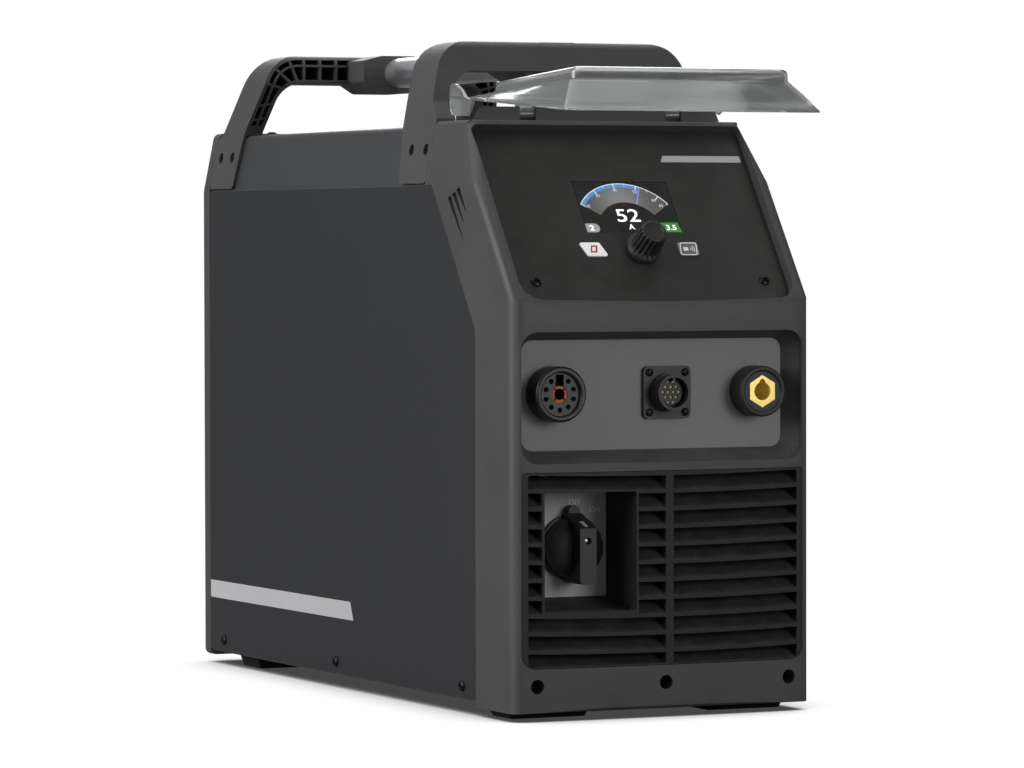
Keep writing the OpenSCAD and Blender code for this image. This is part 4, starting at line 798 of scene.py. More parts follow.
class Palette:
    """Every finish of the unit: of a material slot of the record, a special node or a print."""

    FINISHES: tuple[Finish, ...] = (
        Moulded("bezel_plastic", srgb(58, 58, 57), 0.5, grain=0.5, depth=0.03),
        Moulded("grille_plastic", srgb(30, 30, 30), 0.55, grain=0.5, depth=0.03, specular=0.25),
        Moulded("grey_plate", srgb(113, 113, 113), 0.5, grain=0.4, depth=0.015, rub=0.1, specular=0.3),
        # A lighter copy of the grey plate for the switch plate: painted light on a plate that its deep well shades.
        Moulded("switch_plate_painted_light", srgb(160, 160, 160), 0.5, grain=0.4, depth=0.01, rub=0.1, specular=0.3),
        Moulded("black_plastic", srgb(30, 30, 30), 0.42, grain=0.35, depth=0.015),
        Moulded("socket_plastic", srgb(24, 24, 24), 0.35, grain=0.35, depth=0.01, rub=0.25, dust=0.0),
        Metal("shaded_contact", srgb(62, 60, 58), 0.4),
        Moulded("dark_plastic", srgb(40, 40, 44), 0.5),
        Moulded("fan_plastic", srgb(26, 26, 27), 0.45, grain=0.6, depth=0.02),
        Moulded("button_white", srgb(252, 252, 250), 0.4, grain=0.3, depth=0.008, dust=0.0, rub=0.1),
        Moulded("button_grey", srgb(96, 96, 98), 0.45, grain=0.3, depth=0.008, rub=0.2),
        Moulded("panel_film", srgb(34, 34, 32), 0.45, grain=0.25, depth=0.006, rub=0.15, specular=0.3),
        Moulded("hose_rubber", srgb(24, 24, 25), 0.7, grain=0.8, depth=0.05),
        Moulded("foot_rubber", srgb(20, 20, 19), 0.75, grain=0.9, depth=0.06, specular=0.2),
        PowderCoat("cover_paint", srgb(42, 43, 45), 0.5, peel=0.9, depth=0.03),
        PowderCoat("panel_paint", srgb(24, 25, 27), 0.5, peel=0.9, depth=0.025),
        Glass("display_glass", srgb(24, 24, 23), 0.24),
        Clear("clear_polycarbonate", srgb(146, 148, 147), 0.05),
        Metal("polished_tube", srgb(225, 226, 228), 0.32, lines=(900.0, 12.0, 900.0), depth=0.002, haze=0.08),
        Metal("zinc_steel", srgb(176, 178, 182), 0.3),
        Metal("black_steel", srgb(46, 46, 48), 0.34, lines=(700.0, 700.0, 700.0), tarnish=0.5),
        Metal("chrome_wire", srgb(190, 192, 195), 0.16, lines=(600.0, 600.0, 600.0), haze=0.1),
        Metal("contact_copper", srgb(112, 62, 42), 0.4, lines=(2500.0, 200.0, 2500.0)),
        Metal("contact_brass", srgb(255, 226, 130), 0.34, lines=(2500.0, 200.0, 2500.0), metallic=0.35),
        # The gold is darkened with painted shade, for pins seen deep in their holes.
        Metal("contact_gold", srgb(98, 90, 70), 0.3, lines=(2500.0, 300.0, 2500.0)),
        Metal("heatsink_aluminium", srgb(188, 190, 194), 0.4, lines=(1200.0, 20.0, 1200.0)),
        Banded("circuit_board", srgb(18, 84, 46), 0.4, second=srgb(10, 60, 34), pitch=2.4, axis="X"),
        Banded("capacitor_sleeve", srgb(30, 34, 74), 0.35, second=srgb(20, 22, 52), pitch=9.0),
        Banded("core_and_winding", srgb(170, 96, 52), 0.35, second=srgb(70, 34, 18), pitch=1.4, metallic=0.4),
        Ink("stripe_ink", srgb(172, 172, 173), 0.45),
        Ink("mark_ink", srgb(206, 206, 204), 0.45),
        Ink("label_ink", srgb(230, 230, 228), 0.5, under=srgb(190, 190, 190)),
        Ink("red_ink", srgb(176, 32, 30), 0.45, under=srgb(120, 20, 20)),
        Ink("icon_ink", srgb(236, 236, 236), 0.45, under=srgb(190, 190, 190)),
        Pixels("white_pixels", srgb(246, 247, 248), 0.3, glow=0.85),
        Pixels("tick_pixels", srgb(214, 216, 220), 0.3, glow=0.6),
        Pixels("blue_pixels", srgb(70, 130, 190), 0.3, glow=0.75),
        Pixels("violet_pixels", srgb(124, 122, 226), 0.3, glow=0.8),
        Pixels("grey_pixels", srgb(96, 97, 98), 0.3, glow=0.6, bright_at=BAND_MIDDLE),
        Pixels("brown_pixels", srgb(150, 112, 78), 0.3, glow=0.6),
        Pixels("green_pixels", srgb(52, 120, 48), 0.3, glow=0.7),
        Pixels("tab_pixels", srgb(150, 150, 150), 0.3, glow=0.6),
    )
    BY_NAME = {finish.name: finish for finish in FINISHES}

    @classmethod
    def get(cls, name: str) -> Material:
        """Returns the material of a slot or a print."""
        return cls.BY_NAME[name].build()


# ------------------------------------------------------------------ building pieces


def settle(
    mesh: Mesh,
    name: str,
    finish: str,
    body: str = CHASSIS,
    replaces: Iterable[str] = (),
) -> Object:
    """Makes a finished mesh an object of the scene and ties it to its body.

    Args:
        mesh: The mesh, in metres and in place.
        name: The piece's name.
        finish: Its finish's name.
        body: The body that it rides on.
        replaces: The CAD nodes that it stands for.

    Returns:
        The object.
    """
    mesh.name = name
    mesh.materials.clear()
    mesh.materials.append(Palette.get(finish))
    piece = bpy.data.objects.new(name, mesh)
    bpy.context.scene.collection.objects.link(piece)
    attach(piece, body)
    if replaces:
        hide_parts(*replaces)
    LOG.info("%s: %d faces on %s", name, len(mesh.polygons), body)
    return piece


def smooth_by_angle(mesh: Mesh, degrees: float) -> None:
    """Shades a mesh smooth but for its sharper edges.

    Args:
        mesh: The mesh.
        degrees: The angle from which an edge stays sharp.
    """
    work = bmesh.new()
    work.from_mesh(mesh)
    for edge in work.edges:
        edge.smooth = len(edge.link_faces) == 2 and edge.calc_face_angle() < math.radians(degrees)
    for face in work.faces:
        face.smooth = True
    work.to_mesh(mesh)
    work.free()


def merged(first: Mesh, second: Mesh) -> Mesh:
    """Adds one mesh to another.

    Args:
        first: The mesh that stays.
        second: The mesh that is added to it and removed.

    Returns:
        The first mesh.
    """
    work = bmesh.new()
    work.from_mesh(first)
    work.from_mesh(second)
    work.to_mesh(first)
    work.free()
    bpy.data.meshes.remove(second)
    return first


@dataclass(frozen=True)
class Words:
    """Figures or letters of a print: what they say, where their middle is and how they look.

    The height is a capital's, wide is how much wider than usual they are, and bold is how far
    their strokes grow, as a share of the height.
    """

    text: str
    u: float
    v: float
    height: float
    wide: float = 1.0
    bold: float = 0.0


class Shape:
    """Collects solids on a working plane, in millimetres, and turns them into one mesh."""

    def __init__(self, plane: WorkPlane) -> None:
        """Starts an empty shape.

        Args:
            plane: Where it is built.
        """
        self.plane = plane
        self.work = bmesh.new()

    def ring(self, corners: Iterable[Sequence[float]]) -> list[bmesh.types.BMVert]:
        """Returns the corners (u, v, w) of an outline as vertices."""
        return [self.work.verts.new(corner) for corner in corners]

    def band(self, first: Sequence[bmesh.types.BMVert], second: Sequence[bmesh.types.BMVert]) -> None:
        """Joins two rings with the same number of corners by a band of faces.

        Args:
            first: One ring.
            second: The next ring.
        """
        for k, corner in enumerate(first):
            j = (k + 1) % len(first)
            self.work.faces.new((corner, first[j], second[j], second[k]))

    def loft(self, rings: Sequence[Sequence[bmesh.types.BMVert]]) -> "Shape":
        """Adds a solid through rings, closed at both ends.

        Args:
            rings: The rings, from one end to the other.

        Returns:
            The shape itself.
        """
        for first, second in zip(rings, rings[1:]):
            self.band(first, second)
        self.work.faces.new(list(reversed(rings[0])))
        self.work.faces.new(rings[-1])
        return self

    def slab(self, outline: Sequence[Point], low: float, high: float) -> "Shape":
        """Adds a plate from an outline.

        Args:
            outline: Corners (u, v), anticlockwise.
            low: Level of its underside.
            high: Level of its top.

        Returns:
            The shape itself.
        """
        return self.loft([self.ring((u, v, level) for u, v in outline) for level in (low, high)])

    def frame(self, outer: Sequence[Point], inner: Sequence[Point], low: float, high: float) -> "Shape":
        """Adds a closed frame between two outlines with the same number of corners.

        Args:
            outer: Outer corners, anticlockwise.
            inner: Inner corners, anticlockwise.
            low: Level of its underside.
            high: Level of its top.

        Returns:
            The shape itself.
        """
        corners = ((outer, low), (outer, high), (inner, high), (inner, low))
        rings = [self.ring((u, v, level) for u, v in line) for line, level in corners]
        for first, second in zip(rings, rings[1:] + rings[:1]):
            self.band(first, second)
        return self

    def lettering(self, words: Words, low: float, high: float) -> "Shape":
        """Adds plain figures or letters.

        Args:
            words: What they say, where and how.
            low: Level of their underside.
            high: Level of their top.

        Returns:
            The shape itself.
        """
        curve = bpy.data.curves.new("lettering", "FONT")
        curve.body = words.text
        curve.align_x = curve.align_y = "CENTER"
        curve.size = words.height / CAPITAL_SHARE
        curve.extrude = (high - low) / 2
        curve.offset = words.bold * words.height
        curve.resolution_u = 4
        holder = bpy.data.objects.new("lettering", curve)
        bpy.context.scene.collection.objects.link(holder)
        bpy.context.view_layer.update()
        mesh = bpy.data.meshes.new_from_object(holder.evaluated_get(bpy.context.evaluated_depsgraph_get()))
        middle = [(max(p.co[k] for p in mesh.vertices) + min(p.co[k] for p in mesh.vertices)) / 2 for k in (0, 1)]
        centred = Matrix.Translation((-middle[0], -middle[1], 0))
        widened = Matrix.Diagonal((words.wide, 1.0, 1.0, 1.0))
        mesh.transform(Matrix.Translation((words.u, words.v, (low + high) / 2)) @ widened @ centred)
        self.work.from_mesh(mesh)
        bpy.data.objects.remove(holder)
        bpy.data.curves.remove(curve)
        bpy.data.meshes.remove(mesh)
        return self

    def mesh(self) -> Mesh:
        """Returns the shape as a mesh in the frame, and ends the shape."""
        made = bpy.data.meshes.new("shape")
        bmesh.ops.remove_doubles(self.work, verts=self.work.verts, dist=1e-5)
        bmesh.ops.recalc_face_normals(self.work, faces=self.work.faces)
        self.work.to_mesh(made)
        self.work.free()
        made.transform(self.plane.matrix())
        return made


def rounded_rectangle(u0: float, u1: float, v0: float, v1: float, radius: float, steps: int = 5) -> list[Point]:
    """Returns the outline of a rectangle with round corners.

    Args:
        u0: Left side.
        u1: Right side.
        v0: Lower side.
        v1: Upper side.
        radius: Radius of its corners.
        steps: Pieces in each corner.

    Returns:
        Its corners, anticlockwise.
    """
    centres = (
        (u1 - radius, v0 + radius, -90),
        (u1 - radius, v1 - radius, 0),
        (u0 + radius, v1 - radius, 90),
        (u0 + radius, v0 + radius, 180),
    )
    outline = []
    for cu, cv, start in centres:
        for k in range(steps + 1):
            a = math.radians(start + 90 * k / steps)
            outline.append((cu + radius * math.cos(a), cv + radius * math.sin(a)))
    return outline


def circle(cu: float, cv: float, radius: float, steps: int) -> list[Point]:
    """Returns the outline of a circle.

    Args:
        cu: Its middle.
        cv: Its middle.
        radius: Its radius.
        steps: Number of corners.

    Returns:
        Its corners, anticlockwise.
    """
    turns = [k * math.tau / steps for k in range(steps)]
    return [(cu + radius * math.cos(t), cv + radius * math.sin(t)) for t in turns]


def sector(cu: float, cv: float, inner: float, outer: float, start: float, end: float, steps: int = 24) -> list[Point]:
    """Returns the outline of a piece of a ring, with angles counted clockwise from straight up.

    Args:
        cu: Middle of the ring.
        cv: Middle of the ring.
        inner: Inner radius.
        outer: Outer radius.
        start: First angle in degrees.
        end: Last angle in degrees.
        steps: Pieces along the arc.

    Returns:
        Its corners.
    """
    angles = [math.radians(start + (end - start) * k / steps) for k in range(steps + 1)]
    far = [(cu + outer * math.sin(a), cv + outer * math.cos(a)) for a in angles]
    near = [(cu + inner * math.sin(a), cv + inner * math.cos(a)) for a in reversed(angles)]
    return list(reversed(far + near))


# ------------------------------------------------------------------ geometry nodes


class Recipe:
    """A Geometry Nodes tree with named inputs that makes repeated parts."""

    def __init__(self, name: str, inputs: dict[str, str]) -> None:
        """Opens the tree.

        Args:
            name: The tree's name.
            inputs: Input name to socket type.
        """
        self.tree = bpy.data.node_groups.new(name, "GeometryNodeTree")
        self.tree.is_modifier = True
        self.tree.interface.new_socket(name="Geometry", in_out="INPUT", socket_type="NodeSocketGeometry")
        for key, kind in inputs.items():
            self.tree.interface.new_socket(name=key, in_out="INPUT", socket_type="NodeSocket" + kind)
        self.tree.interface.new_socket(name="Geometry", in_out="OUTPUT", socket_type="NodeSocketGeometry")
        self.wiring = Wiring(self.tree)
        self.start = self.wiring.add("NodeGroupInput")
        self.end = self.wiring.add("NodeGroupOutput")

    def given(self, name: str) -> NodeSocket:
        """Returns the socket of a named input."""
        return self.start.outputs[name]

    def close(self, geometry: NodeSocket) -> None:
        """Ends the tree: real geometry with its finish.

        Args:
            geometry: What the tree has made.
        """
        real = self.wiring.add("GeometryNodeRealizeInstances", {0: geometry})
        done = self.wiring.add("GeometryNodeSetMaterial", {0: real.outputs[0], "Material": self.given("Finish")})
        self.tree.links.new(done.outputs[0], self.end.inputs[0])

    def cook(self, seed: Mesh, values: dict[str, object]) -> Mesh:
        """Runs the tree once.

        Args:
            seed: The mesh that it works on.
            values: Its named inputs.

        Returns:
            The plain mesh that it makes.
        """
        holder = bpy.data.objects.new("recipe_holder", seed)
        bpy.context.scene.collection.objects.link(holder)
        modifier = holder.modifiers.new("recipe", "NODES")
        modifier.node_group = self.tree
        for item in self.tree.interface.items_tree:
            if item.item_type == "SOCKET" and item.in_out == "INPUT" and item.name in values:
                modifier[item.identifier] = values[item.name]
        bpy.context.view_layer.update()
        mesh = bpy.data.meshes.new_from_object(holder.evaluated_get(bpy.context.evaluated_depsgraph_get()))
        holder.modifiers.remove(modifier)
        bpy.data.objects.remove(holder)
        bpy.data.meshes.remove(seed)
        return mesh


def seed_mesh(points: Sequence[tuple[Vector, Vector]]) -> Mesh:
    """Returns a mesh of loose points that carry a direction each.

    Args:
        points: Place and direction of each, in metres.

    Returns:
        The mesh, with the attribute "aim".
    """
    mesh = bpy.data.meshes.new("seed")
    mesh.from_pydata([place for place, _ in points], [], [])
    aim = mesh.attributes.new("aim", "FLOAT_VECTOR", "POINT")
    for k, (_, direction) in enumerate(points):
        aim.data[k].vector = direction.normalized()
    return mesh


@dataclass(frozen=True)
class ScrewSize:
    """Radius and height of a screw's head, radius and length of its shank."""

    head_radius: float
    head_height: float
    shank_radius: float
    shank_length: float


@dataclass
class CrossScrews:
    """Pan head screws with a cross recess, one set for each place that uses them.

    The recess is a share of the head's radius wide and a share of its height deep, its bars reach
    past the rim, and each screw is turned by spin radians more than the one before. The head loses
    the share crown of its radius towards the top.
    """

    crown: float = 0.45
    recess_width: float = 0.24
    recess_depth: float = 0.6
    reach: float = 1.15
    spin: float = 0.83
    sharp: float = 40.0
    recipe: Recipe | None = field(default=None, repr=False)

    def tree(self) -> Recipe:
        """Returns the screw's recipe, made on first use."""
        if self.recipe:
            return self.recipe
        made = Recipe(
            "cross_recess_screws",
            {
                "Head Radius": "Float",
                "Head Height": "Float",
                "Crown": "Float",
                "Recess Width": "Float",
                "Recess Depth": "Float",
                "Shank Radius": "Float",
                "Shank Length": "Float",
                "Finish": "Material",
            },
        )
        w = made.wiring
        top = w.add("ShaderNodeCombineXYZ", {2: made.given("Head Height")}).outputs[0]
        line = w.add("GeometryNodeCurvePrimitiveLine", {"End": top})
        fine = w.add("GeometryNodeResampleCurve", {0: line.outputs[0], "Count": 9})
        share = w.add("GeometryNodeSplineParameter").outputs[0]
        drop = w.calc("MULTIPLY", w.calc("POWER", share, 3.0), made.given("Crown"))
        width = w.calc("MULTIPLY", w.calc("SUBTRACT", 1.0, drop), made.given("Head Radius"))
        ring = w.add("GeometryNodeCurvePrimitiveCircle", {"Resolution": 28, "Radius": 1.0})
        head = w.add(
            "GeometryNodeCurveToMesh", {0: fine.outputs[0], 1: ring.outputs[0], "Scale": width, "Fill Caps": True}
        )
        long = w.calc("MULTIPLY", made.given("Head Radius"), self.reach)
        deep = w.calc("MULTIPLY", made.given("Recess Depth"), 2.0)
        bars = []
        for first, second in ((long, made.given("Recess Width")), (made.given("Recess Width"), long)):
            size = w.add("ShaderNodeCombineXYZ", {0: first, 1: second, 2: deep}).outputs[0]
            cube = w.add("GeometryNodeMeshCube", {"Size": size})
            bars.append(w.add("GeometryNodeTransform", {0: cube.outputs[0], "Translation": top}).outputs[0])
        cut = w.add("GeometryNodeMeshBoolean", {0: head.outputs[0]}, operation="DIFFERENCE")
        for bar in bars:
            made.tree.links.new(bar, cut.inputs[1])
        rod = w.add(
            "GeometryNodeMeshCylinder",
            {"Vertices": 16, "Radius": made.given("Shank Radius"), "Depth": made.given("Shank Length")},
        )
        # The shank reaches a little into the head, so that no gap shows between them.
        down = w.add("ShaderNodeCombineXYZ", {2: w.calc("MULTIPLY", made.given("Shank Length"), -0.49)})
        sunk = w.add("GeometryNodeTransform", {0: rod.outputs[0], "Translation": down.outputs[0]})
        screw = w.add("GeometryNodeJoinGeometry", {0: cut.outputs[0]})
        made.tree.links.new(sunk.outputs[0], screw.inputs[0])
        aim = w.add("GeometryNodeInputNamedAttribute", {0: "aim"}, data_type="FLOAT_VECTOR")
        turn = w.add("FunctionNodeAlignRotationToVector", {"Vector": aim.outputs[0]}, axis="Z")
        spin = w.add("FunctionNodeRotateRotation", {0: turn.outputs[0]}, rotation_space="LOCAL")
        index = w.add("GeometryNodeInputIndex").outputs[0]
        angle = w.add("ShaderNodeCombineXYZ", {2: w.calc("MULTIPLY", index, self.spin)}).outputs[0]
        made.tree.links.new(w.add("FunctionNodeEulerToRotation", {0: angle}).outputs[0], spin.inputs[1])
        made.close(
            w.add(
                "GeometryNodeInstanceOnPoints",
                {0: made.start.outputs[0], "Instance": screw.outputs[0], "Rotation": spin.outputs[0]},
            ).outputs[0]
        )
        self.recipe = made
        return made

    def heads(self, seats: Seats, size: ScrewSize, finish: str) -> Mesh:
        """Returns one set of screws as a mesh.

        Args:
            seats: Seat and outward direction of each.
            size: Their size.
            finish: Name of their finish.

        Returns:
            The mesh.
        """
        values = {
            "Head Radius": size.head_radius * MM,
            "Head Height": size.head_height * MM,
            "Crown": self.crown,
            "Recess Width": size.head_radius * self.recess_width * MM,
            "Recess Depth": size.head_height * self.recess_depth * MM,
            "Shank Radius": size.shank_radius * MM,
            "Shank Length": size.shank_length * MM,
            "Finish": Palette.get(finish),
        }
        mesh = self.tree().cook(seed_mesh(seats), values)
        smooth_by_angle(mesh, self.sharp)
        return mesh


@dataclass
class Fasteners:
    """Where the unit's screws sit."""

    strip_x: tuple[float, ...] = (-101.0, 0.0, 101.0)
    strip_d: float = 11.0
    strip_z: float = 25.0
    strip_size: ScrewSize = ScrewSize(4.4, 2.5, 2.0, 8.0)
    side_d: tuple[float, ...] = (87.0, 322.0, 554.0)
    side_z: float = 20.0
    side_size: ScrewSize = ScrewSize(4.2, 2.2, 2.0, 6.0)
    arch_d: tuple[float, ...] = (162.0, 188.0, 547.0, 571.0)
    arch_z: float = 410.0
    arch_sink: float = 2.9
    arch_size: ScrewSize = ScrewSize(4.1, 2.4, 2.0, 7.0)
    cover_x: float = 99.0
    cover_d: float = 500.0
    deck_z: float = 427.5
    cover_size: ScrewSize = ScrewSize(4.0, 2.4, 2.0, 6.0)
    panel_x: float = 92.0
    panel_s: float = 139.3
    panel_size: ScrewSize = ScrewSize(4.0, 1.8, 1.6, 12.0)
    signal_x: float = 10.5
    signal_d: float = 15.2
    signal_z: float = 233.0
    signal_half: float = 14.4
    signal_size: ScrewSize = ScrewSize(2.9, 2.0, 1.5, 3.1)
    grip: Point = (-53.0, 127.0)
    grip_d: float = 19.5
    grip_size: ScrewSize = ScrewSize(2.35, 1.6, 1.2, 2.0)

    def strip(self) -> Seats:
        """Returns the seats along the foot of the front and rear bezel."""
        front = [(at(x, self.strip_d, self.strip_z), FORWARD) for x in self.strip_x]
        return front + [(at(x, BODY_LENGTH - self.strip_d, self.strip_z), BACKWARD) for x in self.strip_x]

    def sides(self) -> Seats:
        """Returns the seats along the foot of both side panels."""
        return [(at(s * HALF_WIDTH, d, self.side_z), X_AXIS * s) for s in (-1, 1) for d in self.side_d]

    def arches(self) -> Seats:
        """Returns the seats on the leaning flanks of both arches."""
        tilt = math.atan(LEAN)
        x = HALF_WIDTH - (self.arch_z - FOLD_Z) * LEAN
        seats = []
        for sign in (-1, 1):
            out = Vector((sign * math.cos(tilt), 0, math.sin(tilt)))
            seats += [(at(sign * x, d, self.arch_z) - out * self.arch_sink * MM, out) for d in self.arch_d]
        return seats

    def deck(self) -> Seats:
        """Returns the seats on the top cover."""
        return [(at(s * self.cover_x, self.cover_d, self.deck_z), Z_AXIS) for s in (-1, 1)]

    def film(self) -> Seats:
        """Returns the seats at the lower corners of the control panel."""
        slope = slope_plane().matrix()
        out = (slope.to_3x3() @ Z_AXIS).normalized()
        return [(slope @ Vector((s * self.panel_x, -self.panel_s, PANEL_FACE)), out) for s in (-1, 1)]

    def flange(self) -> Seats:
        """Returns the seats in the corners of the multi-pin socket's flange."""
        half = self.signal_half
        corners = [(x * half, z * half) for x in (-1, 1) for z in (-1, 1)]
        return [(at(self.signal_x + x, self.signal_d, self.signal_z + z), FORWARD) for x, z in corners]

    def build(self) -> None:
        """Makes every set of screws in place of its CAD node, and the one in the switch's grip."""
        screws = CrossScrews()
        sets = (
            ("bezel_screws", self.strip(), self.strip_size),
            ("side_panel_screws", self.sides(), self.side_size),
            ("arch_screws", self.arches(), self.arch_size),
            ("cover_screws", self.deck(), self.cover_size),
            ("panel_screws", self.film(), self.panel_size),
            ("signal_screws", self.flange(), self.signal_size),
        )
        steel, zinc = "black_steel", "zinc_steel"
        for node, seats, size in sets:
            settle(screws.heads(seats, size, steel), node + "_heads", steel, replaces=[node])
        grip = [(at(self.grip[0], self.grip_d, self.grip[1]), FORWARD)]
        settle(screws.heads(grip, self.grip_size, zinc), "switch_grip_screw", zinc, "switch")


@dataclass
class FanGuard:
    """The guard of wire rings behind the fan, on two crossed bars with an eye at each end.

    The bars lie on the rings, cross_lift wire radii further out.
    """

    first_ring: float = 14.0
    pitch: float = 10.0
    rings: int = 7
    wire: float = 1.6
    plate_d: float = 581.9
    axis_z: float = 120.0
    arm: float = 98.0
    bars: tuple[float, ...] = (45.0, 135.0)
    cross_lift: float = 1.6
    eyes: tuple[float, ...] = (45.0, 135.0, 225.0, 315.0)
    eye: float = 5.0
    eye_hole: float = 2.2
    eye_height: float = 5.7
    eye_steps: int = 28
    sharp: float = 50.0

    @staticmethod
    def recipe() -> Recipe:
        """Returns the recipe of the rings."""
        sizes = {"First Radius": "Float", "Pitch": "Float", "Wire Radius": "Float"}
        made = Recipe("wire_rings", {"Count": "Int", **sizes, "Finish": "Material"})
        w = made.wiring
        points = w.add("GeometryNodeMeshLine", {"Count": made.given("Count"), "Offset": (0.0, 0.0, 0.0)})
        step = w.calc("MULTIPLY", w.add("GeometryNodeInputIndex").outputs[0], made.given("Pitch"))
        size = w.calc("ADD", made.given("First Radius"), step)
        ring = w.add("GeometryNodeCurvePrimitiveCircle", {"Resolution": 96, "Radius": 1.0})
        scale = w.add("ShaderNodeCombineXYZ", {0: size, 1: size, 2: 1.0}).outputs[0]
        each = {0: points.outputs[0], "Instance": ring.outputs[0], "Scale": scale}
        rings = w.add("GeometryNodeInstanceOnPoints", each)
        real = w.add("GeometryNodeRealizeInstances", {0: rings.outputs[0]})
        wire = w.add("GeometryNodeCurvePrimitiveCircle", {"Resolution": 12, "Radius": made.given("Wire Radius")})
        tube = w.add("GeometryNodeCurveToMesh", {0: real.outputs[0], 1: wire.outputs[0]})
        made.close(tube.outputs[0])
        return made

    def wires(self) -> Mesh:
        """Returns the rings and the crossed bars."""
        values = {
            "Count": self.rings,
            "First Radius": self.first_ring * MM,
            "Pitch": self.pitch * MM,
            "Wire Radius": self.wire * MM,
            "Finish": Palette.get("chrome_wire"),
        }
        mesh = self.recipe().cook(seed_mesh([(Vector(), Z_AXIS)]), values)
        ring_d = self.plate_d + self.wire
        mesh.transform(Matrix.Translation(at(0, ring_d, self.axis_z)) @ Matrix.Rotation(math.radians(90), 4, "X"))
        work = bmesh.new()
        work.from_mesh(mesh)
        middle = Matrix.Translation(at(0, ring_d + self.wire * self.cross_lift, self.axis_z))
        size = {"radius1": self.wire * MM, "radius2": self.wire * MM, "depth": 2 * self.arm * MM}
        for degrees in self.bars:
            place = middle @ Matrix.Rotation(math.radians(degrees), 4, "Y")
            bmesh.ops.create_cone(work, cap_ends=True, segments=16, matrix=place, **size)
        work.to_mesh(mesh)
        work.free()
        return mesh

    def build(self) -> None:
        """Makes the guard."""
        eyes = Shape(rear_plane(self.plate_d))
        for degrees in self.eyes:
            a = math.radians(degrees)
            cu, cv = self.arm * math.cos(a), self.axis_z + self.arm * math.sin(a)
            rim, hole = (circle(cu, cv, radius, self.eye_steps) for radius in (self.eye, self.eye_hole))
            eyes.frame(rim, hole, 0.0, self.eye_height)
        guard = merged(self.wires(), eyes.mesh())
        smooth_by_angle(guard, self.sharp)
        settle(guard, "fan_guard_wires", "chrome_wire", replaces=["fan_guard"])


# ------------------------------------------------------------------ prints and display


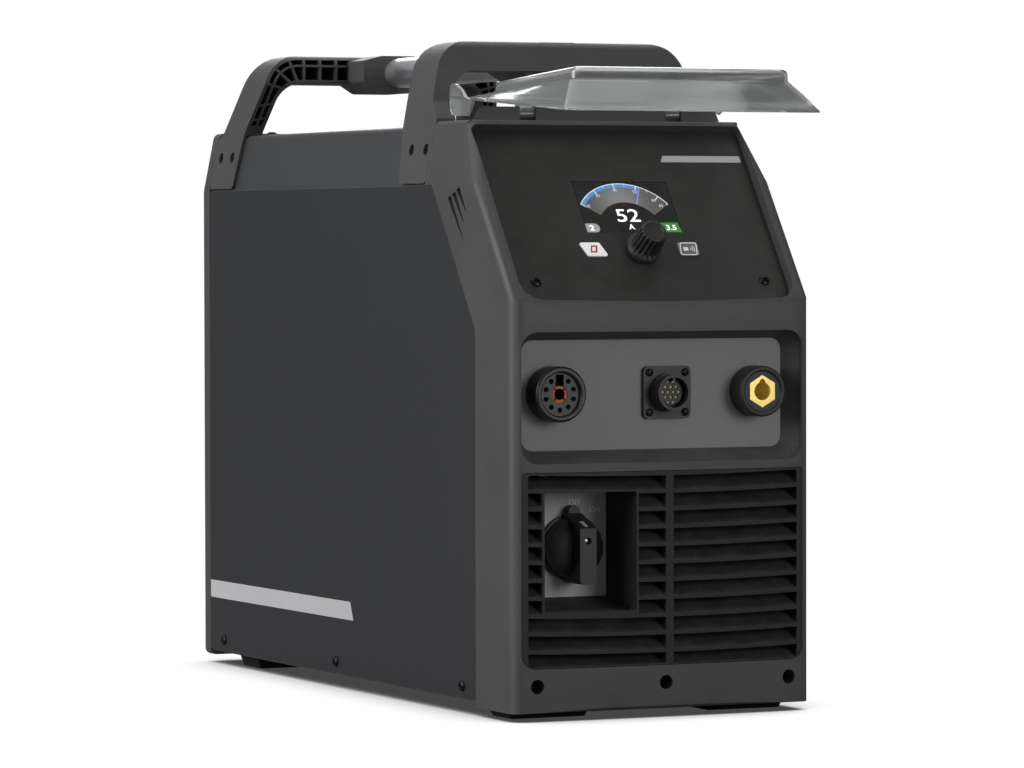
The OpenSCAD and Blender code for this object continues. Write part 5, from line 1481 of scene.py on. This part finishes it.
@dataclass
class Gauge:
    """The arched current scale of the display, with angles in degrees, clockwise from straight up.

    Its layers lie between 0 and 0.06 mm over the display's face.
    """

    middle: Point = (-1.4, -94.7)
    outer: float = 43.5
    inner: float = 26.6
    blue_in: float = 40.0
    start: float = -55.0
    end: float = 55.0
    reading: float = 23.0
    reading_width: float = 1.8
    rim: float = 0.7
    rim_overlap: float = 0.1
    side_width: float = 0.6
    side_short: float = 5.0
    foot_line: Point = (-0.25, 0.15)
    step: float = 24.4
    rows: tuple[tuple[str, int, float, float, int], ...] = (
        ("gauge_main_ticks", 5, 4.6, 0.7, 1),
        ("gauge_fine_ticks", 10, 2.4, 0.4, 2),
    )
    tick_thickness: float = 0.03
    figures: tuple[tuple[str, float], ...] = (
        ("20", -52.4), ("30", -31.2), ("40", -6.6), ("50", 17.8), ("60", 41.2), ("65", 51.4),
    )
    figure_radius: float = 37.7
    figure_height: float = 2.5
    level: float = -8.28

    @staticmethod
    def ticks() -> Recipe:
        """Returns the recipe of a row of ticks along an arc."""
        row = {"Count": "Int", "Radius": "Float", "Start": "Float", "Step": "Float"}
        made = Recipe("gauge_ticks", {**row, "Tick Size": "Vector", "Finish": "Material"})
        w = made.wiring
        points = w.add("GeometryNodeMeshLine", {"Count": made.given("Count"), "Offset": (0.0, 0.0, 0.0)})
        step = w.calc("MULTIPLY", w.add("GeometryNodeInputIndex").outputs[0], made.given("Step"))
        angle = w.calc("ADD", made.given("Start"), step)
        u = w.calc("MULTIPLY", w.calc("SINE", angle), made.given("Radius"))
        v = w.calc("MULTIPLY", w.calc("COSINE", angle), made.given("Radius"))
        place = w.add("ShaderNodeCombineXYZ", {0: u, 1: v}).outputs[0]
        spread = w.add("GeometryNodeSetPosition", {0: points.outputs[0], "Position": place})
        tick = w.add("GeometryNodeMeshCube", {"Size": made.given("Tick Size")})
        turn = w.add("ShaderNodeCombineXYZ", {2: w.calc("MULTIPLY", angle, -1.0)}).outputs[0]
        turned = w.add("FunctionNodeEulerToRotation", {0: turn})
        each = {0: spread.outputs[0], "Instance": tick.outputs[0], "Rotation": turned.outputs[0]}
        made.close(w.add("GeometryNodeInstanceOnPoints", each).outputs[0])
        return made

    def sheets(self, slope: WorkPlane) -> None:
        """Makes the band, its lit part, the line of the reading and the rim.

        Args:
            slope: The plane of the control face.
        """
        edge, first, last = self.outer - self.rim + self.rim_overlap, self.start, self.end
        before, now = self.reading - self.reading_width, self.reading
        table = (
            ("gauge_band", "grey_pixels", self.inner, edge, first, last, 40, 0.0, 0.02),
            ("gauge_lit_part", "blue_pixels", self.blue_in, edge, first, now, 36, 0.02, 0.04),
            ("gauge_reading_line", "violet_pixels", self.inner, self.blue_in, before, now, 2, 0.02, 0.04),
            ("gauge_rim", "tick_pixels", self.outer - self.rim, self.outer, first, last, 40, 0.0, 0.06),
        )
        for name, finish, near, far, start, end, steps, low, high in table:
            arc = sector(*self.middle, near, far, start, end, steps)
            settle(Shape(slope).slab(arc, self.level + low, self.level + high).mesh(), name, finish)

    def edges(self, slope: WorkPlane) -> None:
        """Makes the brown line round the foot and the ends of the band.

        Args:
            slope: The plane of the control face.
        """
        low, high = self.level + 0.04, self.level + 0.05
        near, far = (self.inner + shift for shift in self.foot_line)
        lines = Shape(slope).slab(sector(*self.middle, near, far, self.start, self.end, 36), low, high)
        for start in (self.start, self.end - self.side_width):
            end = start + self.side_width
            lines.slab(sector(*self.middle, self.inner, self.outer - self.side_short, start, end, 1), low, high)
        settle(lines.mesh(), "gauge_edges", "brown_pixels")

    def build(self) -> None:
        """Makes the whole scale."""
        slope = slope_plane()
        self.sheets(slope)
        self.edges(slope)
        u, v = self.middle
        recipe = self.ticks()
        for name, count, length, width, split in self.rows:
            values = {
                "Count": count,
                "Radius": (self.outer - length / 2) * MM,
                "Start": math.radians(self.start),
                "Step": math.radians(self.step) / split,
                "Tick Size": (width * MM, length * MM, self.tick_thickness * MM),
                "Finish": Palette.get("tick_pixels"),
            }
            mesh = recipe.cook(seed_mesh([(Vector(), Z_AXIS)]), values)
            lifted = Matrix.Translation((u, v, self.level + 0.06)) @ Matrix.Scale(1 / MM, 4)
            mesh.transform(slope.matrix() @ lifted)
            settle(mesh, name, "tick_pixels")
        figures = Shape(slope)
        for text, degrees in self.figures:
            a = math.radians(degrees)
            cu, cv = u + self.figure_radius * math.sin(a), v + self.figure_radius * math.cos(a)
            figures.lettering(Words(text, cu, cv, self.figure_height), self.level + 0.03, self.level + 0.06)
        settle(figures.mesh(), "gauge_figures", "tick_pixels")


@dataclass
class PanelArt:
    """What is printed on the control panel and shown on its display, at u and v of the slope.

    The film, the display and the buttons' caps each have their own level. The display's layers are
    one or two times pixel thick, and film_ink and cap_ink are the prints' thicknesses.
    """

    film: float = PANEL_FACE
    display: float = -8.28
    cap: float = -7.2
    pixel: float = 0.02
    film_ink: float = 0.05
    cap_ink: float = 0.04
    reading: tuple[Words, ...] = (Words("52", -1.6, -80.2, 11.2, 1.24, 0.012), Words("A", -1.4, -90.4, 4.6, 1.0, 0.03))
    small: tuple[Words, ...] = (Words("2", -33.8, -91.3, 4.6, 1.25, 0.03), Words("3.5", 30.6, -91.0, 4.4, 1.15, 0.03))
    tab: tuple[float, ...] = (-38.4, -27.4, -95.3, -87.4, 3.6)
    tab_square_to: float = -33.0
    pressure_box: Outline = ((24.4, -95.3), (38.4, -95.3), (36.8, -86.6), (22.6, -86.6))
    stripe: Outline = ((39.3, -31.7), (106.0, -31.7), (106.0, -25.9), (42.4, -25.9))
    mode_outer: Outline = ((-41.6, -114.2), (-36.4, -114.2), (-34.6, -107.8), (-39.8, -107.8))
    mode_inner: Outline = ((-40.2, -112.9), (-37.4, -112.9), (-36.2, -109.1), (-39.0, -109.1))
    gas_outer: tuple[float, ...] = (31.4, 45.2, -116.6, -105.4, 1.8)
    gas_inner: tuple[float, ...] = (32.2, 44.4, -115.8, -106.2, 1.2)
    gas_middle_v: float = -111.0
    gas_slant: float = 0.17
    gas_box: Outline = ((34.2, -112.6), (38.0, -112.6), (38.0, -109.6), (34.2, -109.6))
    wave_middle: Point = (38.2, -111.1)
    wave_radii: tuple[float, ...] = (1.6, 3.1, 4.6)
    wave_width: float = 0.5
    wave_angles: Point = (55.0, 125.0)

    def screen(self, slope: WorkPlane) -> None:
        """Makes what the display shows.

        Args:
            slope: The plane of the control face.
        """
        Gauge(level=self.display).build()
        low, middle, high = (self.display + k * self.pixel for k in range(3))
        digits = Shape(slope)
        for words in self.reading:
            digits.lettering(words, low, high)
        settle(digits.mesh(), "display_reading", "white_pixels")
        tab = [(self.tab[0], v) if u < self.tab_square_to else (u, v) for u, v in rounded_rectangle(*self.tab)]
        settle(Shape(slope).slab(tab, low, middle).mesh(), "display_mode_tab", "tab_pixels")
        box = Shape(slope).slab(self.pressure_box, low, middle)
        settle(box.mesh(), "display_pressure_box", "green_pixels")
        small = Shape(slope)
        for words in self.small:
            small.lettering(words, middle, high)
        settle(small.mesh(), "display_small_figures", "white_pixels")

    def prints(self, slope: WorkPlane) -> None:
        """Makes the prints on the film and on the buttons.

        Args:
            slope: The plane of the control face.
        """
        stripe = Shape(slope).slab(self.stripe, self.film, self.film + self.film_ink)
        settle(stripe.mesh(), "panel_stripe", "stripe_ink")
        low, high = self.cap, self.cap + self.cap_ink
        mark = Shape(slope).frame(self.mode_outer, self.mode_inner, low, high)
        settle(mark.mesh(), "mode_button_mark", "red_ink", "mode_button")
        rims = [
            [(u + (v - self.gas_middle_v) * self.gas_slant, v) for u, v in rounded_rectangle(*sides)]
            for sides in (self.gas_outer, self.gas_inner)
        ]
        icon = Shape(slope).frame(*rims, low, high).slab(self.gas_box, low, high)
        for radius in self.wave_radii:
            arc = sector(*self.wave_middle, radius, radius + self.wave_width, *self.wave_angles, 8)
            icon.slab(arc, low, high)
        settle(icon.mesh(), "gas_test_button_icon", "icon_ink", "gas_test_button")

    def build(self) -> None:
        """Makes the display's readings, then the prints."""
        slope = slope_plane()
        self.screen(slope)
        self.prints(slope)


@dataclass
class SidePrints:
    """The light stripe along the foot of each side panel: its corners are depth and height."""

    corners: Outline = ((288.0, 53.5), (583.0, 53.5), (583.0, 67.5), (294.0, 67.5))
    thickness: float = 0.05

    def build(self) -> None:
        """Makes both stripes."""
        for sign, name in ((-1, "left"), (1, "right")):
            outline = [(sign * d, z) for d, z in self.corners][::sign]
            stripe = Shape(side_plane(sign)).slab(outline, 0.0, self.thickness)
            settle(stripe.mesh(), f"{name}_side_stripe", "stripe_ink")


@dataclass
class SwitchArt:
    """The words beside the mains switch and the mark on the sloping end of its grip.

    The words' places count from the switch's axis. The sloping end begins slope_z above the axis,
    at depth grip_d, and runs along slope_run (depth and height).
    """

    axis: Point = (-53.0, 121.0)
    plate_d: float = 47.1
    ink: float = 0.06
    words: tuple[Words, ...] = (Words("OFF", 4.6, 32.4, 4.2, 0.95), Words("ON", 20.6, 26.6, 4.2, 0.98))
    grip_d: float = 15.0
    slope_z: float = 15.0
    slope_run: Point = (17.0, 6.5)
    mark: tuple[float, ...] = (-1.5, 1.5, 3.4, 12.6, 0.4)

    def build(self) -> None:
        """Makes the words and the mark."""
        x, z = self.axis
        printed = Shape(WorkPlane(at(x, self.plate_d, z), X_AXIS, Z_AXIS))
        for words in self.words:
            printed.lettering(words, 0.0, self.ink)
        settle(printed.mesh(), "switch_words", "label_ink")
        end = WorkPlane(at(x, self.grip_d, z + self.slope_z), X_AXIS, Vector((0, *self.slope_run)).normalized())
        mark = Shape(end).slab(rounded_rectangle(*self.mark), 0.0, self.ink)
        settle(mark.mesh(), "switch_grip_mark", "mark_ink", "switch")


@dataclass
class FlutedDial:
    """The round knob of the control face, with deep flutes and a dished top.

    A flute takes up flute_share of the pitch on each side of its middle.
    """

    place: Point = (0.0, -113.0)
    base: float = -5.4
    radius: float = 13.0
    height: float = 23.4
    flutes: int = 18
    flute_depth: float = 1.5
    flute_share: float = 0.36
    pieces: int = 10
    sharp: float = 42.0

    def profile(self) -> tuple[tuple[float, float, float], ...]:
        """Returns radius, level and share of the flutes' depth, from the foot to the middle of the top."""
        r, top = self.radius, self.height
        return (
            (0.01, 0.0, 0.0), (r - 0.6, 0.0, 0.0), (r, 0.6, 0.0), (r, 3.6, 0.0), (r - 0.5, 4.2, 0.0),
            (r - 1.7, 5.2, 0.3), (r - 1.8, 5.9, 1.0), (r - 2.9, top - 2.6, 1.0), (r - 3.1, top - 1.3, 0.7),
            (r - 3.6, top - 0.5, 0.15), (r - 4.4, top, 0.0), (r - 5.8, top, 0.0), (r - 6.3, top - 0.6, 0.0),
            (0.01, top - 0.8, 0.0),
        )

    def corner(self, k: int, radius: float, share: float) -> Point:
        """Returns one corner of a ring.

        Args:
            k: Its number.
            radius: The ring's radius between two flutes.
            share: How much of the flutes' depth the ring has.

        Returns:
            Its place on the slope.
        """
        along = abs((k % self.pieces) / self.pieces - 0.5) / self.flute_share
        reach = radius - self.flute_depth * share * max(0.0, 1.0 - along * along)
        angle = math.tau * k / (self.flutes * self.pieces)
        return self.place[0] + reach * math.cos(angle), self.place[1] + reach * math.sin(angle)

    def build(self) -> None:
        """Makes the knob."""
        shape = Shape(slope_plane())
        rings = []
        for radius, level, share in self.profile():
            corners = [self.corner(k, radius, share) for k in range(self.flutes * self.pieces)]
            rings.append(shape.ring((u, v, self.base + level) for u, v in corners))
        mesh = shape.loft(rings).mesh()
        smooth_by_angle(mesh, self.sharp)
        settle(mesh, "fluted_dial", "black_plastic", "dial", ["encoder_knob"])


@dataclass
class ClearHood:
    """The hinged clear hood: flared skirt, upright step, ridge round the top, lugs and cheeks.

    Its plane has u = x, v backwards and w up from the hinge's axis, all tilted with the lid. The
    outlines of its fittings are v and w, and cheek_x, ledge_x and post_x say how far out these lie.
    """

    pivot_d: float = 108.0
    pivot_z: float = 435.5
    tilt: float = 4.0
    wall: float = 2.2
    lug_x: float = 59.5
    lug_width: float = 12.0
    lug_radius: float = 4.4
    pin_radius: float = 2.05
    lug_steps: int = 32
    neck: tuple[float, float, float] = (3.0, 12.6, 13.4)
    cheek_x: Point = (-107.0, -104.4)
    cheek: Outline = (
        (-11.0, 10.2), (-11.0, 9.2), (-8.0, 4.6), (-5.0, 0.8), (-1.5, -2.0), (18.0, -2.8), (23.0, -2.4), (27.6, 1.4),
        (28.6, 10.0), (28.6, 17.0), (27.0, 20.0), (24.0, 21.0), (20.0, 20.6), (10.0, 17.0), (2.0, 11.4),
    )
    ledge_x: Point = (-104.4, -101.0)
    ledge: Outline = ((-28.0, 9.6), (28.4, 9.6), (28.4, 11.8), (-24.0, 11.8))
    post_x: Point = (99.4, 101.0)
    post: Outline = ((-7.5, 9.8), (-6.0, 3.4), (0.0, 0.4), (7.0, 2.4), (9.0, 9.8))
    # Half width, front, rear, corner radius, height in front and height at the rear, from the rim up.
    levels: tuple[Level, ...] = (
        (102.0, -163.0, 10.0, 11.0, 9.5, 9.5),
        (102.0, -163.0, 10.0, 11.0, 11.0, 11.0),
        (100.8, -161.8, 9.2, 10.2, 12.0, 12.0),
        (96.2, -153.8, 6.4, 9.4, 19.4, 13.2),
        (88.6, -141.0, 0.4, 8.4, 29.6, 15.0),
        (87.2, -139.0, -1.2, 7.6, 30.8, 15.8),
        (86.8, -138.3, -2.0, 7.4, 32.0, 16.8),
        (86.6, -138.0, -2.4, 7.2, 36.6, 21.0),
        (85.8, -137.2, -3.2, 6.6, 38.4, 22.4),
        (84.2, -135.6, -4.8, 5.4, 39.3, 23.1),
        (82.0, -133.4, -7.0, 4.4, 39.5, 23.3),
        (79.6, -131.0, -9.4, 4.0, 39.2, 23.1),
        (77.6, -129.0, -11.4, 3.6, 38.2, 22.4),
    )
    least_radius: float = 0.8
    sharp: float = 38.0

    def planes(self) -> tuple[WorkPlane, WorkPlane]:
        """Returns the lid's plane, and the upright one along it with u backwards, v up and w = x."""
        a = math.radians(self.tilt)
        along, up = Vector((0, math.cos(a), math.sin(a))), Vector((0, -math.sin(a), math.cos(a)))
        pivot = at(0, self.pivot_d, self.pivot_z)
        return WorkPlane(pivot, X_AXIS, along), WorkPlane(pivot, along, up)

    def corners(self, level: Level, inset: float) -> list[tuple[float, float, float]]:
        """Returns the corners of the shell at one level.

        Args:
            level: One of the levels.
            inset: How far inside the outer face it lies.

        Returns:
            The corners, anticlockwise.
        """
        half, front, rear, radius, high, low = level
        half, front, rear = half - inset, front + inset, rear - inset
        outline = rounded_rectangle(-half, half, front, rear, max(self.least_radius, radius - inset), 6)
        drop = inset if high > self.levels[0][4] else 0.0
        return [(u, v, high + (low - high) * (v - front) / (rear - front) - drop) for u, v in outline]

    def shell(self, plane: WorkPlane) -> Mesh:
        """Returns the shell, with its wall's real thickness.

        Args:
            plane: The lid's plane.

        Returns:
            The mesh.
        """
        shape = Shape(plane)
        outer = [shape.ring(self.corners(level, 0.0)) for level in self.levels]
        inner = [shape.ring(self.corners(level, self.wall)) for level in (self.levels[0], *self.levels[2:])]
        rings = outer[::-1] + inner
        for first, second in zip(rings, rings[1:]):
            shape.band(first, second)
        # The rings run from the top's outside to its inside, so the end faces turn the other way.
        shape.work.faces.new(rings[0])
        shape.work.faces.new(rings[-1][::-1])
        return shape.mesh()

    def fittings(self, plane: WorkPlane) -> Mesh:
        """Returns the lugs, the cheek with its ledge and the small post on the right.

        Args:
            plane: The upright plane along the lid.

        Returns:
            The mesh.
        """
        side = Shape(plane)
        r = self.lug_radius
        rim, hole = (circle(0.0, 0.0, radius, self.lug_steps) for radius in (r, self.pin_radius))
        foot, rear_top, front_top = self.neck
        for x in (-self.lug_x, self.lug_x):
            low, high = x - self.lug_width / 2, x + self.lug_width / 2
            side.frame(rim, hole, low, high)
            side.slab([(-r, foot), (r, foot), (r, rear_top), (-r, front_top)], low, high)
        for outline, reach in ((self.cheek, self.cheek_x), (self.ledge, self.ledge_x), (self.post, self.post_x)):
            side.slab(outline, *reach)
        return side.mesh()

    def build(self) -> None:
        """Makes the hood."""
        lid, upright = self.planes()
        hood = merged(self.shell(lid), self.fittings(upright))
        smooth_by_angle(hood, self.sharp)
        settle(hood, "clear_hood", "clear_polycarbonate", "cover", ["clear_cover"])


# ------------------------------------------------------------------ CAD nodes


@dataclass
class NodeDresser:
    """Gives each CAD node its finish, round edges and clean normals, with its mesh left as it is.

    The edges' widths are in millimetres: edge is the usual one and soft names the others.
    """

    frame: dict
    edge: float = 0.45
    edge_pieces: int = 2
    sharp: float = 34.0
    weld: float = 2e-6
    flat: float = 0.6
    face_weight: int = 90
    plain: frozenset[str] = frozenset({"fan_guard", "air_hose", "clear_cover"})
    special: dict[str, str] = field(
        default_factory=lambda: {
            "torch_control_contacts": "shaded_contact",
            "torch_socket": "socket_plastic",
            # The switch plate gets a lighter plate plastic, painted light for the shade of its deep well.
            "switch_plate": "switch_plate_painted_light",
        }
    )
    soft: dict[str, float] = field(
        default_factory=lambda: {
            "front_arch": 0.8,
            "rear_arch": 0.8,
            "front_bezel": 0.6,
            "front_grille": 0.35,
            "left_side_panel": 0.4,
            "right_side_panel": 0.4,
            "top_cover": 0.4,
            "control_panel": 0.3,
        }
    )

    def normals(self) -> NodeTree:
        """Returns the tree that shades a node smooth but for its sharp edges."""
        made = bpy.data.node_groups.new("smooth_by_angle", "GeometryNodeTree")
        made.is_modifier = True
        made.interface.new_socket(name="Geometry", in_out="INPUT", socket_type="NodeSocketGeometry")
        made.interface.new_socket(name="Sharp Angle", in_out="INPUT", socket_type="NodeSocketFloat").default_value = 0.7
        made.interface.new_socket(name="Geometry", in_out="OUTPUT", socket_type="NodeSocketGeometry")
        w = Wiring(made)
        start, end = w.add("NodeGroupInput"), w.add("NodeGroupOutput")
        bend = w.add("GeometryNodeInputMeshEdgeAngle").outputs[0]
        limit = {0: bend, 1: start.outputs[1]}
        sharp = w.add("FunctionNodeCompare", limit, data_type="FLOAT", operation="GREATER_THAN")
        shaded = w.add(
            "GeometryNodeSetMeshNormal",
            {0: start.outputs[0], "Remove Custom": True, "Edge Sharpness": sharp.outputs[0], "Face Sharpness": False},
            mode="SHARPNESS",
        )
        made.links.new(shaded.outputs[0], end.inputs[0])
        return made

    def build(self) -> None:
        """Dresses every node."""
        normals = self.normals()
        for name, node in self.frame["nodes"].items():
            slot = node.material_slots[0].name
            node.material_slots[0].material = Palette.get(self.special.get(name, slot))
            if name in self.plain:
                continue
            width = self.soft.get(name, self.edge) * MM
            bevel = {"limit_method": "ANGLE", "angle_limit": math.radians(self.sharp), "harden_normals": False}
            steps = (
                ("weld", "WELD", {"merge_threshold": self.weld}),
                ("flat", "DECIMATE", {"decimate_type": "DISSOLVE", "angle_limit": math.radians(self.flat)}),
                ("edge", "BEVEL", {"width": width, "segments": self.edge_pieces, **bevel}),
                ("shade", "NODES", {"node_group": normals}),
                ("weigh", "WEIGHTED_NORMAL", {"weight": self.face_weight, "keep_sharp": True}),
            )
            for label, kind, settings in steps:
                modifier = node.modifiers.new(label, kind)
                for key, value in settings.items():
                    setattr(modifier, key, value)
            LOG.info("%s dressed in %s", name, slot)


# ------------------------------------------------------------------ studio


@dataclass
class Studio:
    """Floor, lights and camera, in metres and degrees.

    The floor is white to the eye. Its glow darkens to floor_dark within contact of what stands on it, a painted contact
    shadow, and it throws only a little light back, of strength floor_bounce.
    """

    position: tuple[float, float, float] = (-1.62259, -3.5061, 0.3419)
    yaw: float = 24.92
    pitch: float = 1.62
    roll: float = -0.12
    lens: float = 176.95
    film_width: float = 36.0
    sight: Point = (0.1, 60.0)
    floor_half: float = 9.0
    floor_drop: float = 0.0003
    contact: float = 0.09
    # Darkest tone of the painted contact shadow on the floor.
    floor_dark: float = 0.06
    floor_bounce: float = 0.22
    fill_colour: tuple[float, float, float, float] = (0.92, 0.95, 1.0, 1.0)
    fill_strength: float = 0.28
    lit_point: tuple[float, float, float] = (0.0, 0.0, 0.2)
    # Name, place, size of the square and watts of each light.
    boxes: tuple[tuple[str, tuple[float, float, float], float, float], ...] = (
        ("overhead", (0.0, 0.5, 2.6), 2.6, 40.0),
        ("key", (-2.6, -0.2, 1.1), 1.6, 76.0),
        ("front_fill", (1.0, -3.1, 0.8), 1.2, 32.0),
        ("rear", (1.3, 2.8, 1.6), 1.8, 40.0),
    )

    def floor(self) -> None:
        """Lays the floor."""
        work = bmesh.new()
        lowered = Matrix.Translation((0, 0, -self.floor_drop))
        bmesh.ops.create_grid(work, x_segments=8, y_segments=8, size=self.floor_half, matrix=lowered)
        mesh = bpy.data.meshes.new("studio_floor")
        work.to_mesh(mesh)
        work.free()
        floor = bpy.data.objects.new("studio_floor", mesh)
        bpy.context.scene.collection.objects.link(floor)
        material = bpy.data.materials.new("studio_floor")
        material.use_nodes = True
        material.node_tree.nodes.clear()
        w = Wiring(material.node_tree)
        # Painted contact shadow: ambient occlusion darkens the floor's glow near what stands on it.
        near = w.add("ShaderNodeAmbientOcclusion", {"Distance": self.contact}, samples=16).outputs["AO"]
        tone = w.window(near, 0.12, 0.8, self.floor_dark, 1.0)
        seen = w.add("ShaderNodeEmission", {0: (1.0, 1.0, 1.0, 1.0), 1: tone})
        dim = w.add("ShaderNodeBsdfDiffuse", {0: (*[self.floor_bounce] * 3, 1.0)})
        both = w.add("ShaderNodeMixShader", {0: self.straight_ray(w), 1: dim.outputs[0], 2: seen.outputs[0]})
        w.add("ShaderNodeOutputMaterial", {0: both.outputs[0]})
        mesh.materials.append(material)

    @staticmethod
    def straight_ray(wiring: Wiring) -> NodeSocket:
        """Returns 1 for a ray from the eye, also where it has passed through something clear."""
        path = wiring.add("ShaderNodeLightPath")
        return wiring.calc("MAXIMUM", path.outputs["Is Camera Ray"], path.outputs["Is Transmission Ray"])

    def world(self) -> None:
        """Makes a white backdrop that lights the unit only a little."""
        world = bpy.data.worlds.new("studio")
        world.use_nodes = True
        world.node_tree.nodes.clear()
        w = Wiring(world.node_tree)
        seen = w.add("ShaderNodeBackground", {0: (1.0, 1.0, 1.0, 1.0), 1: 1.0})
        fill = w.add("ShaderNodeBackground", {0: self.fill_colour, 1: self.fill_strength})
        both = w.add("ShaderNodeMixShader", {0: self.straight_ray(w), 1: fill.outputs[0], 2: seen.outputs[0]})
        w.add("ShaderNodeOutputWorld", {0: both.outputs[0]})
        bpy.context.scene.world = world

    def lights(self) -> None:
        """Hangs the area lights, which all face the same point."""
        for name, place, size, power in self.boxes:
            data = bpy.data.lights.new(name, "AREA")
            data.shape = "SQUARE"
            data.size = size
            data.energy = power
            light = bpy.data.objects.new(name, data)
            light.location = place
            aim = Vector(self.lit_point) - Vector(place)
            light.rotation_euler = aim.to_track_quat("-Z", "Y").to_euler()
            bpy.context.scene.collection.objects.link(light)

    def camera(self) -> None:
        """Sets the camera up."""
        yaw, pitch, roll = (math.radians(a) for a in (self.yaw, self.pitch, self.roll))
        ahead = Vector((math.sin(yaw) * math.cos(pitch), math.cos(yaw) * math.cos(pitch), -math.sin(pitch)))
        right = Vector((math.cos(yaw), -math.sin(yaw), 0.0))
        up = right.cross(ahead)
        turned_right = right * math.cos(roll) + up * math.sin(roll)
        turned_up = -right * math.sin(roll) + up * math.cos(roll)
        data = bpy.data.cameras.new("camera")
        data.lens = self.lens
        data.sensor_width = self.film_width
        data.clip_start, data.clip_end = self.sight
        camera = bpy.data.objects.new("camera", data)
        turn = Matrix((turned_right, turned_up, -ahead)).transposed().to_4x4()
        camera.matrix_world = Matrix.Translation(self.position) @ turn
        bpy.context.scene.collection.objects.link(camera)
        bpy.context.scene.camera = camera

    def build(self) -> None:
        """Makes the whole studio."""
        bpy.context.scene.view_settings.view_transform = "Standard"
        self.floor()
        self.world()
        self.lights()
        self.camera()


def main() -> None:
    """Builds the studio, dresses the nodes and adds every piece."""
    logging.basicConfig(level=logging.INFO, format="%(message)s")
    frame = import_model()
    Studio().build()
    NodeDresser(frame).build()
    Fasteners().build()
    FanGuard().build()
    PanelArt().build()
    SidePrints().build()
    SwitchArt().build()
    FlutedDial().build()
    ClearHood().build()


if __name__ == "__main__":
    main()
